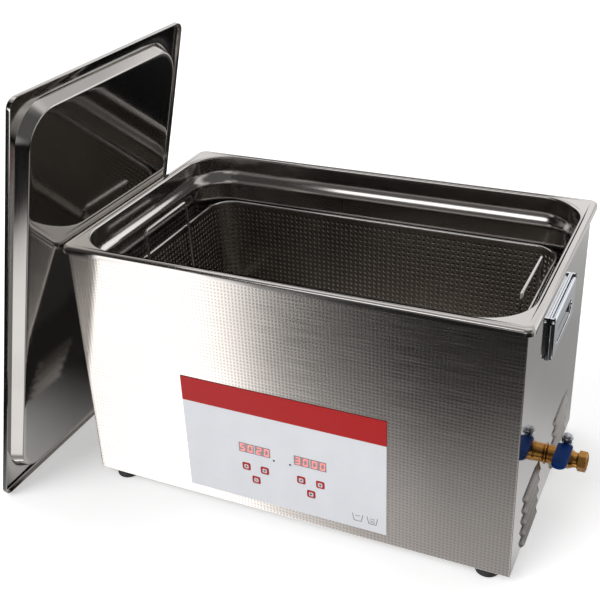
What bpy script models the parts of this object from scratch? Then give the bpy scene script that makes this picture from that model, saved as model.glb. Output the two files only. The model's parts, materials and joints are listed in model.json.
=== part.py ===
"""Bench-top ultrasonic cleaner of the 30 litre class, with its lid leaning against the left side.

The unit is drawn round the middle of its case, on the floor: +X right, +Y back, +Z up. An empty
named "cleaner" carries it, and stands so that the world's origin is under the middle of the whole,
the leaning lid and the drain valve included.
"""

import math

import bpy
from mathutils import Matrix, Vector

# Driving dimensions, in metres
FLANGE_WIDTH = 0.530
FLANGE_DEPTH = 0.324
TOP_HEIGHT = 0.320
FLANGE_OVERHANG = 0.0065
FLANGE_CORNER = 0.010
FLANGE_LIP = 0.008
CASE_BOTTOM = 0.012
SHEET = 0.0012
GAP = 0.0003
MOUTH_WIDTH = 0.508
MOUTH_DEPTH = 0.304
MOUTH_CORNER = 0.052
STEP_DEPTH = 0.023
STEP_WIDTH = 0.005
TANK_FLOOR = 0.120
BASKET_WIDTH = 0.463
BASKET_DEPTH = 0.284
BASKET_RIM_HEIGHT = 0.260
BASKET_CORNER = 0.030
BASKET_FLOOR = 0.130
LID_LENGTH = 0.5265
LID_DEPTH = 0.322
LID_HEM = 0.0064
LID_SINK = 0.0135
LID_BORDER = 0.0142
LID_SLOPE = 0.0080
LID_LEAN = math.radians(12.9)
LID_FORWARD = 0.0785
VALVE_REACH = 0.0475
VALVE_HEIGHT = 0.0668
REAR_REACH = 0.011

# Worked out from them
CASE_X = FLANGE_WIDTH / 2 - FLANGE_OVERHANG
CASE_Y = FLANGE_DEPTH / 2 - FLANGE_OVERHANG
INSIDE_X = CASE_X - SHEET - GAP
INSIDE_Y = CASE_Y - SHEET - GAP
FLANGE_UNDERSIDE = TOP_HEIGHT - SHEET
CORNER_STEPS = 6
ROUND_STEPS = 16

# The lid's centre panel rests on the flange's left edge, and its hem stands on the floor
LID_FOOT_Z = LID_HEM * math.sin(LID_LEAN) + GAP
LID_TOUCH_X = -FLANGE_WIDTH / 2 - GAP
LID_TOUCH_Z = TOP_HEIGHT - 0.0025
LID_TOUCH_UP = (LID_TOUCH_Z - LID_FOOT_Z + LID_SINK * math.sin(LID_LEAN)) / math.cos(LID_LEAN)
LID_FOOT_X = LID_TOUCH_X - LID_SINK * math.cos(LID_LEAN) - LID_TOUCH_UP * math.sin(LID_LEAN)

# The case stands off the origin, because the lid and the valve reach out unequally
VALVE_END_X = CASE_X + VALVE_REACH
LID_FRONT_Y = -LID_FORWARD - LID_DEPTH / 2
REAR_END_Y = CASE_Y + REAR_REACH
CASE_PLACE = Vector((-(LID_FOOT_X + VALVE_END_X) / 2, -(LID_FRONT_Y + REAR_END_Y) / 2, 0))


# ---------------------------------------------------------------- helpers


def clear_scene():
    for found in list(bpy.data.objects):
        bpy.data.objects.remove(found)


def material(name, colour, metallic, roughness):
    """A Principled BSDF material, made once for each name."""
    found = bpy.data.materials.get(name)
    if found:
        return found
    made = bpy.data.materials.new(name)
    made.use_nodes = True
    shader = made.node_tree.nodes["Principled BSDF"]
    shader.inputs["Base Color"].default_value = (*colour, 1)
    shader.inputs["Metallic"].default_value = metallic
    shader.inputs["Roughness"].default_value = roughness
    return made


def steel():
    return material("brushed_steel", (0.60, 0.59, 0.57), 1, 0.30)


def polished_steel():
    return material("polished_steel", (0.62, 0.61, 0.60), 1, 0.08)


def chrome():
    return material("chrome", (0.75, 0.76, 0.78), 1, 0.06)


def brass():
    return material("brass", (0.55, 0.33, 0.10), 1, 0.30)


def rubber():
    return material("black_rubber", (0.02, 0.02, 0.022), 0, 0.6)


def black_plastic():
    return material("black_plastic", (0.025, 0.025, 0.027), 0, 0.4)


def aluminium():
    return material("aluminium", (0.72, 0.72, 0.73), 1, 0.4)


def circuit_board():
    return material("circuit_board", (0.02, 0.16, 0.07), 0, 0.5)


def empty(name, parent, place=(0, 0, 0), turn=None):
    """An empty at a place in its parent's frame, turned by a matrix."""
    made = bpy.data.objects.new(name, None)
    bpy.context.scene.collection.objects.link(made)
    made.parent = parent
    made.matrix_basis = Matrix.Translation(place) @ (turn or Matrix()).to_4x4()
    return made


def add(name, mesh, finish, parent, smooth=True):
    """The mesh as a named object under its parent, smooth except over sharp edges."""
    made = bpy.data.objects.new(name, mesh)
    bpy.context.scene.collection.objects.link(made)
    made.parent = parent
    if finish:
        mesh.materials.append(finish)
    if smooth:
        mesh.shade_smooth()
        mesh.set_sharp_from_angle(angle=math.radians(35))
    return made


def mesh_of(name, points, faces):
    mesh = bpy.data.meshes.new(name)
    mesh.from_pydata([tuple(point) for point in points], [], faces)
    mesh.validate()
    if signed_volume(mesh) < 0:
        mesh.flip_normals()
    return mesh


def signed_volume(mesh):
    mesh.calc_loop_triangles()
    total = 0.0
    for triangle in mesh.loop_triangles:
        a, b, c = (mesh.vertices[i].co for i in triangle.vertices)
        total += a.dot(b.cross(c))
    return total / 6


def lofted(name, loops, ring=False):
    """A mesh through loops of equal length: capped at both ends, or closed on itself as a ring."""
    count = len(loops[0])
    points = [point for loop in loops for point in loop]
    pairs = list(zip(range(len(loops) - 1), range(1, len(loops))))
    if ring:
        pairs.append((len(loops) - 1, 0))
    faces = []
    for low, high in pairs:
        for i in range(count):
            j = (i + 1) % count
            faces.append((low * count + i, low * count + j, high * count + j, high * count + i))
    if not ring:
        last = (len(loops) - 1) * count
        faces.append(tuple(range(count - 1, -1, -1)))
        faces.append(tuple(range(last, last + count)))
    return mesh_of(name, points, faces)


def pressed_sheet(name, loops, floor_row):
    """A closed sheet: rings down one face to its floor and back up the other, and two flat floors."""
    count = len(loops[0])
    mesh = lofted(name, loops, ring=True)
    points = [vertex.co.copy() for vertex in mesh.vertices]
    faces = [tuple(face.vertices) for face in mesh.polygons]
    bpy.data.meshes.remove(mesh)
    floor_rows = {floor_row, floor_row + 1}
    faces = [face for face in faces if {v // count for v in face} != floor_rows]
    first, second = floor_row * count, (floor_row + 1) * count
    faces.append(tuple(range(first, first + count)))
    faces.append(tuple(range(second + count - 1, second - 1, -1)))
    return mesh_of(name, points, faces)


def rounded_loop(half_x, half_y, radius, height, steps=CORNER_STEPS):
    """Points round a rectangle with round corners, anticlockwise seen from above."""
    points = []
    for quarter, (side_x, side_y) in enumerate(((1, 1), (-1, 1), (-1, -1), (1, -1))):
        centre_x = side_x * (half_x - radius)
        centre_y = side_y * (half_y - radius)
        for step in range(steps + 1):
            angle = math.pi / 2 * (quarter + step / steps)
            x = centre_x + radius * math.cos(angle)
            y = centre_y + radius * math.sin(angle)
            points.append(Vector((x, y, height)))
    return points


def round_loop(radius, height, steps=ROUND_STEPS, across_flats=False):
    """Points round a circle, or a polygon measured across its flats."""
    reach = radius / math.cos(math.pi / steps) if across_flats else radius
    angles = [2 * math.pi * (step + 0.5) / steps for step in range(steps)]
    return [Vector((reach * math.cos(a), reach * math.sin(a), height)) for a in angles]


def turned(name, profile, steps=ROUND_STEPS, ring=False):
    """A solid of revolution about Z from (radius, height) points."""
    return lofted(name, [round_loop(r, z, steps) for r, z in profile], ring)


def block(name, low, high):
    """A box mesh between two corners."""
    (x0, y0, z0), (x1, y1, z1) = low, high
    base = [Vector((x, y, z0)) for x, y in ((x0, y0), (x1, y0), (x1, y1), (x0, y1))]
    top = [Vector((point.x, point.y, z1)) for point in base]
    return lofted(name, [base, top])


def prism(name, outline, low, high, along="Z"):
    """An outline of (u, v) points pushed along an axis; u and v are the next two axes in turn."""
    places = {
        "X": lambda u, v, w: Vector((w, u, v)),
        "Y": lambda u, v, w: Vector((v, w, u)),
        "Z": lambda u, v, w: Vector((u, v, w)),
    }
    place = places[along]
    return lofted(name, [[place(u, v, w) for u, v in outline] for w in (low, high)])


def helper(name, mesh, parent):
    """A cutter, or a piece to be joined on: it is not part of the object."""
    made = add(name, mesh, None, parent, smooth=False)
    made.hide_render = True
    made.display_type = "WIRE"
    return made


def combined(made, mesh, operation, turn=None):
    """Cuts the mesh from the object, or joins it on, by a Boolean."""
    tool = helper(f"{made.name}_{operation.lower()}", mesh, made.parent)
    tool.matrix_basis = made.matrix_basis @ (turn or Matrix())
    modifier = made.modifiers.new(operation.lower(), "BOOLEAN")
    modifier.operation = operation
    modifier.object = tool
    return made


def cut(made, mesh, turn=None):
    return combined(made, mesh, "DIFFERENCE", turn)


def join(made, mesh, turn=None):
    return combined(made, mesh, "UNION", turn)


def wire(name, points, radius, finish, parent, cyclic=False):
    """A round wire through the points, with filled ends."""
    curve = bpy.data.curves.new(name, "CURVE")
    curve.dimensions = "3D"
    curve.bevel_depth = radius
    curve.bevel_resolution = 2
    curve.use_fill_caps = not cyclic
    spline = curve.splines.new("POLY")
    spline.points.add(len(points) - 1)
    for target, point in zip(spline.points, points):
        target.co = (*point, 1)
    spline.use_cyclic_u = cyclic
    curve.materials.append(finish)
    made = bpy.data.objects.new(name, curve)
    bpy.context.scene.collection.objects.link(made)
    made.parent = parent
    return made


def arc(start, stop, count):
    """Evenly spaced angles, both ends included."""
    return [start + (stop - start) * i / (count - 1) for i in range(count)]


def bow(ends, height, radius, steps=4):
    """A U of wire in the YZ plane: two legs, a top bar and round bends between them."""
    (y0, y1), (low, high) = ends, height
    points = [Vector((0, y0, low))]
    for centre_y, start in ((y0 + radius, math.pi), (y1 - radius, math.pi / 2)):
        for step in range(steps + 1):
            angle = start - math.pi / 2 * step / steps
            y = centre_y + radius * math.cos(angle)
            z = high - radius + radius * math.sin(angle)
            points.append(Vector((0, y, z)))
    points.append(Vector((0, y1, low)))
    return points


ALONG_X = Matrix.Rotation(math.pi / 2, 4, "Y")
ALONG_Y = Matrix.Rotation(-math.pi / 2, 4, "X")


# ---------------------------------------------------------------- case


LOUVRE_LENGTH = 0.067
LOUVRE_GROUP_Y = (-0.074, 0.075)
LOUVRE_ROWS = 5
LOUVRE_PITCH = 0.0155
LOUVRE_TOP = 0.084
LOUVRE_SLOT = 0.005
RETURN_WIDTH = 0.010
PANEL_TOP = FLANGE_UNDERSIDE - GAP - 0.0005

FAN_SIZE = 0.080
FAN_THICKNESS = 0.025
FAN_CENTRE = (-0.150, 0.064)
FAN_SLOTS = 5
INLET_CENTRE = (0.165, 0.055)
SWITCH_CENTRE = (0.110, 0.055)
FUSE_CENTRE = (0.210, 0.055)


def make_front_panel(parent):
    panel = add(
        "front_panel",
        block("front_panel", (-CASE_X, -CASE_Y, CASE_BOTTOM), (CASE_X, -CASE_Y + SHEET, PANEL_TOP)),
        steel(),
        parent,
        smooth=False,
    )
    low_x, high_x = KEYPAD_CUTOUT_X
    low_z, high_z = KEYPAD_CUTOUT_Z
    opening = block("cutout", (low_x, -CASE_Y - 0.01, low_z), (high_x, -CASE_Y + 0.01, high_z))
    return cut(panel, opening)


def make_side_panel(name, side, parent):
    """A side sheet with a return behind the front and rear panels and two groups of louvre slots."""
    inner_y = INSIDE_Y
    outline = [
        (side * CASE_X, -inner_y),
        (side * CASE_X, inner_y),
        (side * (CASE_X - RETURN_WIDTH), inner_y),
        (side * (CASE_X - RETURN_WIDTH), inner_y - SHEET),
        (side * (CASE_X - SHEET), inner_y - SHEET),
        (side * (CASE_X - SHEET), -inner_y + SHEET),
        (side * (CASE_X - RETURN_WIDTH), -inner_y + SHEET),
        (side * (CASE_X - RETURN_WIDTH), -inner_y),
    ]
    panel = add(name, prism(name, outline, CASE_BOTTOM, PANEL_TOP), steel(), parent, smooth=False)
    for centre in LOUVRE_GROUP_Y:
        for row in range(LOUVRE_ROWS):
            top = LOUVRE_TOP - row * LOUVRE_PITCH
            low = (side * CASE_X - 0.005, centre - LOUVRE_LENGTH / 2, top - LOUVRE_SLOT)
            high = (side * CASE_X + 0.005, centre + LOUVRE_LENGTH / 2, top)
            cut(panel, block("slot", low, high))
    return panel


def make_rear_panel(parent):
    panel = add(
        "rear_panel",
        block("rear_panel", (-CASE_X, CASE_Y - SHEET, CASE_BOTTOM), (CASE_X, CASE_Y, PANEL_TOP)),
        steel(),
        parent,
        smooth=False,
    )
    deep = (CASE_Y - 0.01, CASE_Y + 0.01)
    fan_x, fan_z = FAN_CENTRE
    pitch = 0.86 * FAN_SIZE / FAN_SLOTS
    for slot in range(FAN_SLOTS):
        middle = fan_z + (slot - (FAN_SLOTS - 1) / 2) * pitch
        half = 0.5 * math.sqrt((0.9 * FAN_SIZE) ** 2 - (2 * (middle - fan_z)) ** 2)
        low = (fan_x - half, deep[0], middle - 0.004)
        cut(panel, block("slot", low, (fan_x + half, deep[1], middle + 0.004)))
    for (x, z), (half_x, half_z) in (
        (INLET_CENTRE, (INLET_BODY[0] / 2 + GAP, INLET_BODY[1] / 2 + GAP)),
        (SWITCH_CENTRE, (SWITCH_BODY[0] / 2 + GAP, SWITCH_BODY[1] / 2 + GAP)),
        (FUSE_CENTRE, (FUSE_RADIUS + GAP, FUSE_RADIUS + GAP)),
    ):
        cut(panel, block("hole", (x - half_x, deep[0], z - half_z), (x + half_x, deep[1], z + half_z)))
    return panel


def make_base_plate(parent):
    half_x = CASE_X - SHEET - GAP
    half_y = INSIDE_Y - SHEET - GAP
    plate = block("base_plate", (-half_x, -half_y, CASE_BOTTOM), (half_x, half_y, CASE_BOTTOM + SHEET))
    return add("base_plate", plate, steel(), parent, smooth=False)


FOOT_RADIUS = 0.0145
FOOT_PLACE = (0.231, 0.139)


def make_feet(parent):
    """Domed rubber feet under the base plate."""
    top = CASE_BOTTOM - GAP
    profile = [
        (0.0112, 0.0),
        (0.0130, 0.0006),
        (0.0140, 0.0020),
        (FOOT_RADIUS, 0.0045),
        (FOOT_RADIUS, top),
    ]
    mesh = turned("foot", profile)
    mesh.materials.append(rubber())
    for across, side_x in (("left", -1), ("right", 1)):
        for along, side_y in (("front", -1), ("rear", 1)):
            foot = add(f"foot_{along}_{across}", mesh, None, parent)
            foot.location = (side_x * FOOT_PLACE[0], side_y * FOOT_PLACE[1], 0)


# ---------------------------------------------------------------- tank and basket


DRAIN_PLACE_X = 0.214
DRAIN_HOLE_RADIUS = 0.0090


def tank_profile():
    """(half width, half depth, corner radius, height) of each loop, over the inside and back under."""
    top = TOP_HEIGHT
    flange_x, flange_y = FLANGE_WIDTH / 2, FLANGE_DEPTH / 2
    mouth_x, mouth_y = MOUTH_WIDTH / 2, MOUTH_DEPTH / 2
    step = top - STEP_DEPTH
    narrow = STEP_WIDTH + 0.002
    outer = [
        (0, FLANGE_CORNER, top - FLANGE_LIP),
        (0, FLANGE_CORNER, top - 0.0025),
        (0.0008, FLANGE_CORNER, top - 0.0008),
        (0.0026, FLANGE_CORNER, top),
    ]
    inside = [
        (-0.0025, MOUTH_CORNER + 0.0025, top),
        (-0.0008, MOUTH_CORNER + 0.0008, top - 0.0008),
        (0, MOUTH_CORNER, top - 0.003),
        (0.0010, MOUTH_CORNER - 0.001, step),
        (0.0025, MOUTH_CORNER - 0.002, step - 0.0025),
        (STEP_WIDTH, MOUTH_CORNER - 0.004, step - 0.0065),
        (narrow, MOUTH_CORNER - 0.005, step - 0.011),
        (narrow + 0.001, MOUTH_CORNER - 0.006, TANK_FLOOR + 0.015),
        (narrow + 0.005, MOUTH_CORNER - 0.010, TANK_FLOOR + 0.0045),
        (narrow + 0.015, MOUTH_CORNER - 0.018, TANK_FLOOR),
    ]
    loops = [(flange_x - d, flange_y - d, r, z) for d, r, z in outer]
    loops += [(mouth_x - d, mouth_y - d, r, z) for d, r, z in inside]
    under = []
    for d, r, z in reversed(inside[2:]):
        drop = SHEET if z < TANK_FLOOR + 0.010 else 0.0006
        under.append((mouth_x - d + SHEET, mouth_y - d + SHEET, r + SHEET, z - drop))
    under[-1] = (mouth_x + SHEET, mouth_y + SHEET, MOUTH_CORNER + SHEET, top - SHEET - 0.0015)
    under.append((mouth_x + 0.0030, mouth_y + 0.0030, MOUTH_CORNER + 0.0030, top - SHEET))
    under.append((flange_x - 0.0030, flange_y - 0.0030, FLANGE_CORNER - SHEET, top - SHEET))
    under.append((flange_x - SHEET, flange_y - SHEET, FLANGE_CORNER - SHEET, top - 0.0030))
    under.append((flange_x - SHEET, flange_y - SHEET, FLANGE_CORNER - SHEET, top - FLANGE_LIP))
    return loops, under


def make_tank(parent):
    """One pressed sheet: the flange's hem, its top, the stepped wall and floor, and its back face."""
    over, under = tank_profile()
    loops = [rounded_loop(*ring) for ring in over + under]
    mesh = pressed_sheet("tank", loops, len(over) - 1)
    tank = add("tank", mesh, polished_steel(), parent)
    hole = turned("drain_hole", [(DRAIN_HOLE_RADIUS, -0.01), (DRAIN_HOLE_RADIUS, 0.01)], 12)
    return cut(tank, hole, Matrix.Translation((DRAIN_PLACE_X, 0, TANK_FLOOR)))


BASKET_SHEET = 0.0010
BASKET_TAPER = 0.0038
BASKET_WIRE = 0.0018
HANDLE_WIRE = 0.0020
BASKET_HANDLE_HALF = 0.0475
BASKET_HANDLE_TOP = 0.294
BASKET_HANDLE_LOW = 0.168


def make_basket(parent):
    """The perforated tray as a closed sheet, its rim and its two handles, about the lift axis."""
    half_x = BASKET_WIDTH / 2 - BASKET_WIRE
    half_y = BASKET_DEPTH / 2 - BASKET_WIRE
    corner = BASKET_CORNER
    taper = BASKET_TAPER
    top = BASKET_RIM_HEIGHT - BASKET_WIRE - GAP
    outside = [
        (half_x - taper - 0.009, half_y - taper - 0.009, corner - 0.010, BASKET_FLOOR),
        (half_x - taper - 0.003, half_y - taper - 0.003, corner - 0.004, BASKET_FLOOR + 0.0015),
        (half_x - taper, half_y - taper, corner - 0.002, BASKET_FLOOR + 0.006),
        (half_x, half_y, corner, top),
    ]
    inside = []
    for x, y, radius, z in reversed(outside):
        rise = BASKET_SHEET if z < top else 0
        inset = BASKET_SHEET
        inside.append((x - inset, y - inset, radius - inset, z + rise))
    loops = [rounded_loop(*ring, steps=4) for ring in outside + inside]
    shell = add("basket_shell", lofted("basket_shell", loops), polished_steel(), parent)
    foot = turned("pad", [(0.005, TANK_FLOOR + GAP), (0.007, BASKET_FLOOR + 0.0005)], 8)
    for side_x in (-1, 1):
        for side_y in (-1, 1):
            join(shell, foot.copy(), Matrix.Translation((side_x * 0.15, side_y * 0.09, 0)))
    rim = rounded_loop(half_x, half_y, corner, BASKET_RIM_HEIGHT, steps=5)
    wire("basket_rim", rim, BASKET_WIRE, polished_steel(), parent, cyclic=True)
    reach = half_x - BASKET_WIRE - GAP - HANDLE_WIRE
    slope = math.atan(taper / (top - BASKET_FLOOR))
    ends = (-BASKET_HANDLE_HALF, BASKET_HANDLE_HALF)
    heights = (BASKET_HANDLE_LOW - BASKET_RIM_HEIGHT, BASKET_HANDLE_TOP - BASKET_RIM_HEIGHT)
    for name, side in (("left", -1), ("right", 1)):
        points = bow(ends, heights, 0.006)
        handle = wire(f"basket_handle_{name}", points, HANDLE_WIRE, polished_steel(), parent)
        handle.location = (side * reach, 0, BASKET_RIM_HEIGHT)
        handle.rotation_euler.y = side * slope


# ---------------------------------------------------------------- lid


LID_HANDLE_HEIGHT = 0.024


def make_lid(parent):
    """The lid lies flat in its own frame, long side along X and outside up; its parent leans it."""
    half_x, half_y = LID_LENGTH / 2, LID_DEPTH / 2
    corner = 0.012
    ledge_corner = 0.046
    slope = LID_SLOPE
    ledge_x, ledge_y = half_x - LID_BORDER, half_y - LID_BORDER
    over = [
        (0, corner, -LID_HEM),
        (0, corner, -0.0015),
        (0.0005, corner, -0.0004),
        (0.0018, corner, 0),
    ]
    well = [
        (0, ledge_corner, -SHEET),
        (0.0012, ledge_corner - 0.001, -SHEET - 0.0006),
        (slope - 0.0015, ledge_corner - slope + 0.001, -LID_SINK + 0.0008),
        (slope, ledge_corner - slope, -LID_SINK),
    ]
    loops = [(half_x - d, half_y - d, r, z) for d, r, z in over]
    inset = 0.0006
    for d, r, z in well:
        loops.append((ledge_x - d - inset, ledge_y - d - inset, r - inset, z + SHEET))
    below = [(ledge_x - d, ledge_y - d, r, z) for d, r, z in reversed(well)]
    skin = 0.0010
    for d, z in ((0.0022, -SHEET), (skin, -0.0022), (skin, -LID_HEM)):
        below.append((half_x - d, half_y - d, corner - skin, z))
    rings = [rounded_loop(*ring) for ring in loops + below]
    mesh = pressed_sheet("lid", rings, len(loops) - 1)
    lid = add("lid", mesh, polished_steel(), parent)
    lid.location.x = half_x
    grip = bow((-0.055, 0.055), (-LID_SINK + SHEET + GAP, LID_HANDLE_HEIGHT), 0.014)
    handle = wire("lid_handle", grip, 0.005, black_plastic(), parent)
    handle.location.x = half_x


# ---------------------------------------------------------------- control panel


LABEL_CENTRE = (-0.004, 0.102)
LABEL_SIZE = (0.248, 0.153)
LABEL_THICKNESS = 0.0005
LABEL_BACK = -CASE_Y - GAP
LABEL_FRONT = LABEL_BACK - LABEL_THICKNESS
DISPLAY_SIZE = (0.039, 0.0125)
DISPLAY_Z = 0.0986
DISPLAYS = {"left": -0.039, "right": 0.030}
KEY_SIZE = 0.0100
KEY_TRAVEL = 0.0005
KEY_ROWS = (0.0725, 0.0560)
KEY_SPREAD = 0.0117
KEYPAD_CUTOUT_X = (-0.063, 0.055)
KEYPAD_CUTOUT_Z = (0.046, 0.109)
BOARD_FRONT = -CASE_Y + 0.0075
BOARD_THICKNESS = 0.0016


def key_places():
    """Name and centre of each key: two side by side over one, in each group."""
    places = {}
    for group, centre in DISPLAYS.items():
        what = "temperature" if group == "left" else "time"
        places[f"key_{what}_up"] = (centre - KEY_SPREAD, KEY_ROWS[0])
        places[f"key_{what}_down"] = (centre + KEY_SPREAD, KEY_ROWS[0])
        places["key_heat" if group == "left" else "key_start"] = (centre, KEY_ROWS[1])
    return places


def make_controls(parent):
    (x, z), (width, height) = LABEL_CENTRE, LABEL_SIZE
    low = (x - width / 2, LABEL_FRONT, z - height / 2)
    label_mesh = block("control_label", low, (x + width / 2, LABEL_BACK, z + height / 2))
    white = material("label_film", (0.80, 0.81, 0.83), 0, 0.35)
    label = add("control_label", label_mesh, white, parent, smooth=False)
    for name, centre in DISPLAYS.items():
        make_display(name, centre, label, parent)
    for name, place in key_places().items():
        make_key(name, place, label, parent)
    middle = sum(DISPLAYS.values()) / 2
    board = block(
        "control_board",
        (middle - 0.070, BOARD_FRONT, 0.040),
        (middle + 0.070, BOARD_FRONT + BOARD_THICKNESS, 0.112),
    )
    add("control_board", board, circuit_board(), parent, smooth=False)


def make_display(name, centre, label, parent):
    half_x, half_z = DISPLAY_SIZE[0] / 2, DISPLAY_SIZE[1] / 2
    hole = block(
        "hole",
        (centre - half_x - GAP, LABEL_FRONT - 0.01, DISPLAY_Z - half_z - GAP),
        (centre + half_x + GAP, LABEL_BACK + 0.01, DISPLAY_Z + half_z + GAP),
    )
    cut(label, hole)
    window = block(
        "window",
        (centre - half_x, LABEL_FRONT, DISPLAY_Z - half_z),
        (centre + half_x, BOARD_FRONT - GAP, DISPLAY_Z + half_z),
    )
    grey = material("display_window", (0.45, 0.40, 0.40), 0, 0.15)
    add(f"display_window_{name}", window, grey, parent, smooth=False)


def make_key(name, place, label, parent):
    """A square key, 0.3 mm proud of the label, on a short plunger above the control board."""
    x, z = place
    half = KEY_SIZE / 2
    hole = rounded_loop(half + GAP, half + GAP, 0.0020, -0.01, steps=2)
    far = [point + Vector((0, 0, 0.02)) for point in hole]
    cut(label, lofted("hole", [hole, far]), Matrix.Translation((x, LABEL_FRONT, z)) @ ALONG_Y)
    depth = BOARD_FRONT - GAP - KEY_TRAVEL - LABEL_FRONT
    loops = [
        rounded_loop(half - 0.0006, half - 0.0006, 0.0012, -GAP, steps=2),
        rounded_loop(half, half, 0.0018, 0.0001, steps=2),
        rounded_loop(half, half, 0.0018, 0.0020, steps=2),
        rounded_loop(half - 0.0025, half - 0.0025, 0.0010, 0.0021, steps=2),
        rounded_loop(half - 0.0025, half - 0.0025, 0.0010, depth, steps=2),
    ]
    red = material("red_key", (0.62, 0.05, 0.06), 0, 0.4)
    key = add(name, lofted(name, loops), red, parent)
    key.matrix_basis = Matrix.Translation((x, LABEL_FRONT, z)) @ ALONG_Y


# ---------------------------------------------------------------- drop handles


HANDLE_HALF = 0.052
HANDLE_PIVOT_Z = 0.2715
HANDLE_DROP = 0.0455
BAIL_THICKNESS = 0.0040
PLATE_THICKNESS = 0.0015
PIVOT_OUT = GAP + PLATE_THICKNESS + GAP + BAIL_THICKNESS / 2
EAR_WIDTH = 0.003
PIN_RADIUS = 0.0012


def bail_outline():
    """Side view of the bail: a flat leg under a round top that turns on its pin."""
    half = BAIL_THICKNESS / 2
    points = []
    for step in range(7):
        angle = math.pi * step / 6
        points.append((half * math.sin(angle), half * math.cos(angle)))
    top = [(z, x) for z, x in points]
    foot = [(-HANDLE_DROP + 0.001, -half), (-HANDLE_DROP, -half + 0.001)]
    foot += [(-HANDLE_DROP, half - 0.001), (-HANDLE_DROP + 0.001, half)]
    return top + foot


def make_drop_handle(name, side, parent):
    """A plate with two ears on the case side, and a bail that hangs from them."""
    face_x = side * (CASE_X + GAP)
    outer_x = side * (CASE_X + GAP + PLATE_THICKNESS)
    plate_half = HANDLE_HALF + GAP + EAR_WIDTH
    low_x, high_x = sorted((face_x, outer_x))
    low_z = HANDLE_PIVOT_Z - HANDLE_DROP - 0.0005
    high_z = HANDLE_PIVOT_Z + 0.004
    mesh = block("plate", (low_x, -plate_half, low_z), (high_x, plate_half, high_z))
    plate = add(f"handle_plate_{name}", mesh, chrome(), parent, smooth=False)
    ear_x = side * (CASE_X + PIVOT_OUT + BAIL_THICKNESS / 2)
    pivot = Matrix.Translation((side * (CASE_X + PIVOT_OUT), 0, HANDLE_PIVOT_Z))
    for end in (-1, 1):
        x0, x1 = sorted((outer_x - side * 0.0005, ear_x))
        y0, y1 = sorted((end * (HANDLE_HALF + GAP), end * plate_half))
        join(plate, block("ear", (x0, y0, HANDLE_PIVOT_Z - 0.004), (x1, y1, high_z)))
    pin_hole = turned("pin_hole", [(PIN_RADIUS + GAP, -0.08), (PIN_RADIUS + GAP, 0.08)], 12)
    cut(plate, pin_hole, pivot @ ALONG_Y)
    bail = add(
        f"handle_bail_{name}",
        prism("bail", bail_outline(), -HANDLE_HALF, HANDLE_HALF, along="Y"),
        chrome(),
        parent,
    )
    bail.matrix_basis = pivot
    finger = rounded_loop(0.040, 0.010, 0.008, -0.01, steps=3)
    far = [point + Vector((0, 0, 0.02)) for point in finger]
    through = Matrix.Translation((0, 0, -0.026)) @ Matrix.Rotation(math.pi / 2, 4, "Z") @ ALONG_Y
    cut(bail, lofted("finger_slot", [finger, far]), through)
    pin = turned("pin", [(PIN_RADIUS, -HANDLE_HALF - 0.0025), (PIN_RADIUS, HANDLE_HALF + 0.0025)], 12)
    join(bail, pin, ALONG_Y)


# ---------------------------------------------------------------- drain


VALVE_START_X = CASE_X + 0.0012
STEM_X = CASE_X + 0.0222
LEVER_Z = 0.0888
LEVER_WIDTH = 0.0170
LEVER_LENGTH = 0.0515
BALL_RADIUS = 0.0080
PORT_RADIUS = 0.0050


def make_drain_elbow(parent):
    """The pipe from under the tank's drain hole, down and out to the valve through the side."""
    bend = 0.014
    centre = (DRAIN_PLACE_X + bend, VALVE_HEIGHT + bend)
    points = [Vector((DRAIN_PLACE_X, 0, TANK_FLOOR - SHEET - GAP))]
    for step in range(7):
        angle = math.pi + math.pi / 2 * step / 6
        x = centre[0] + bend * math.cos(angle)
        points.append(Vector((x, 0, centre[1] + bend * math.sin(angle))))
    points.append(Vector((VALVE_START_X - GAP, 0, VALVE_HEIGHT)))
    return wire("drain_elbow", points, 0.0085, brass(), parent)


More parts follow.
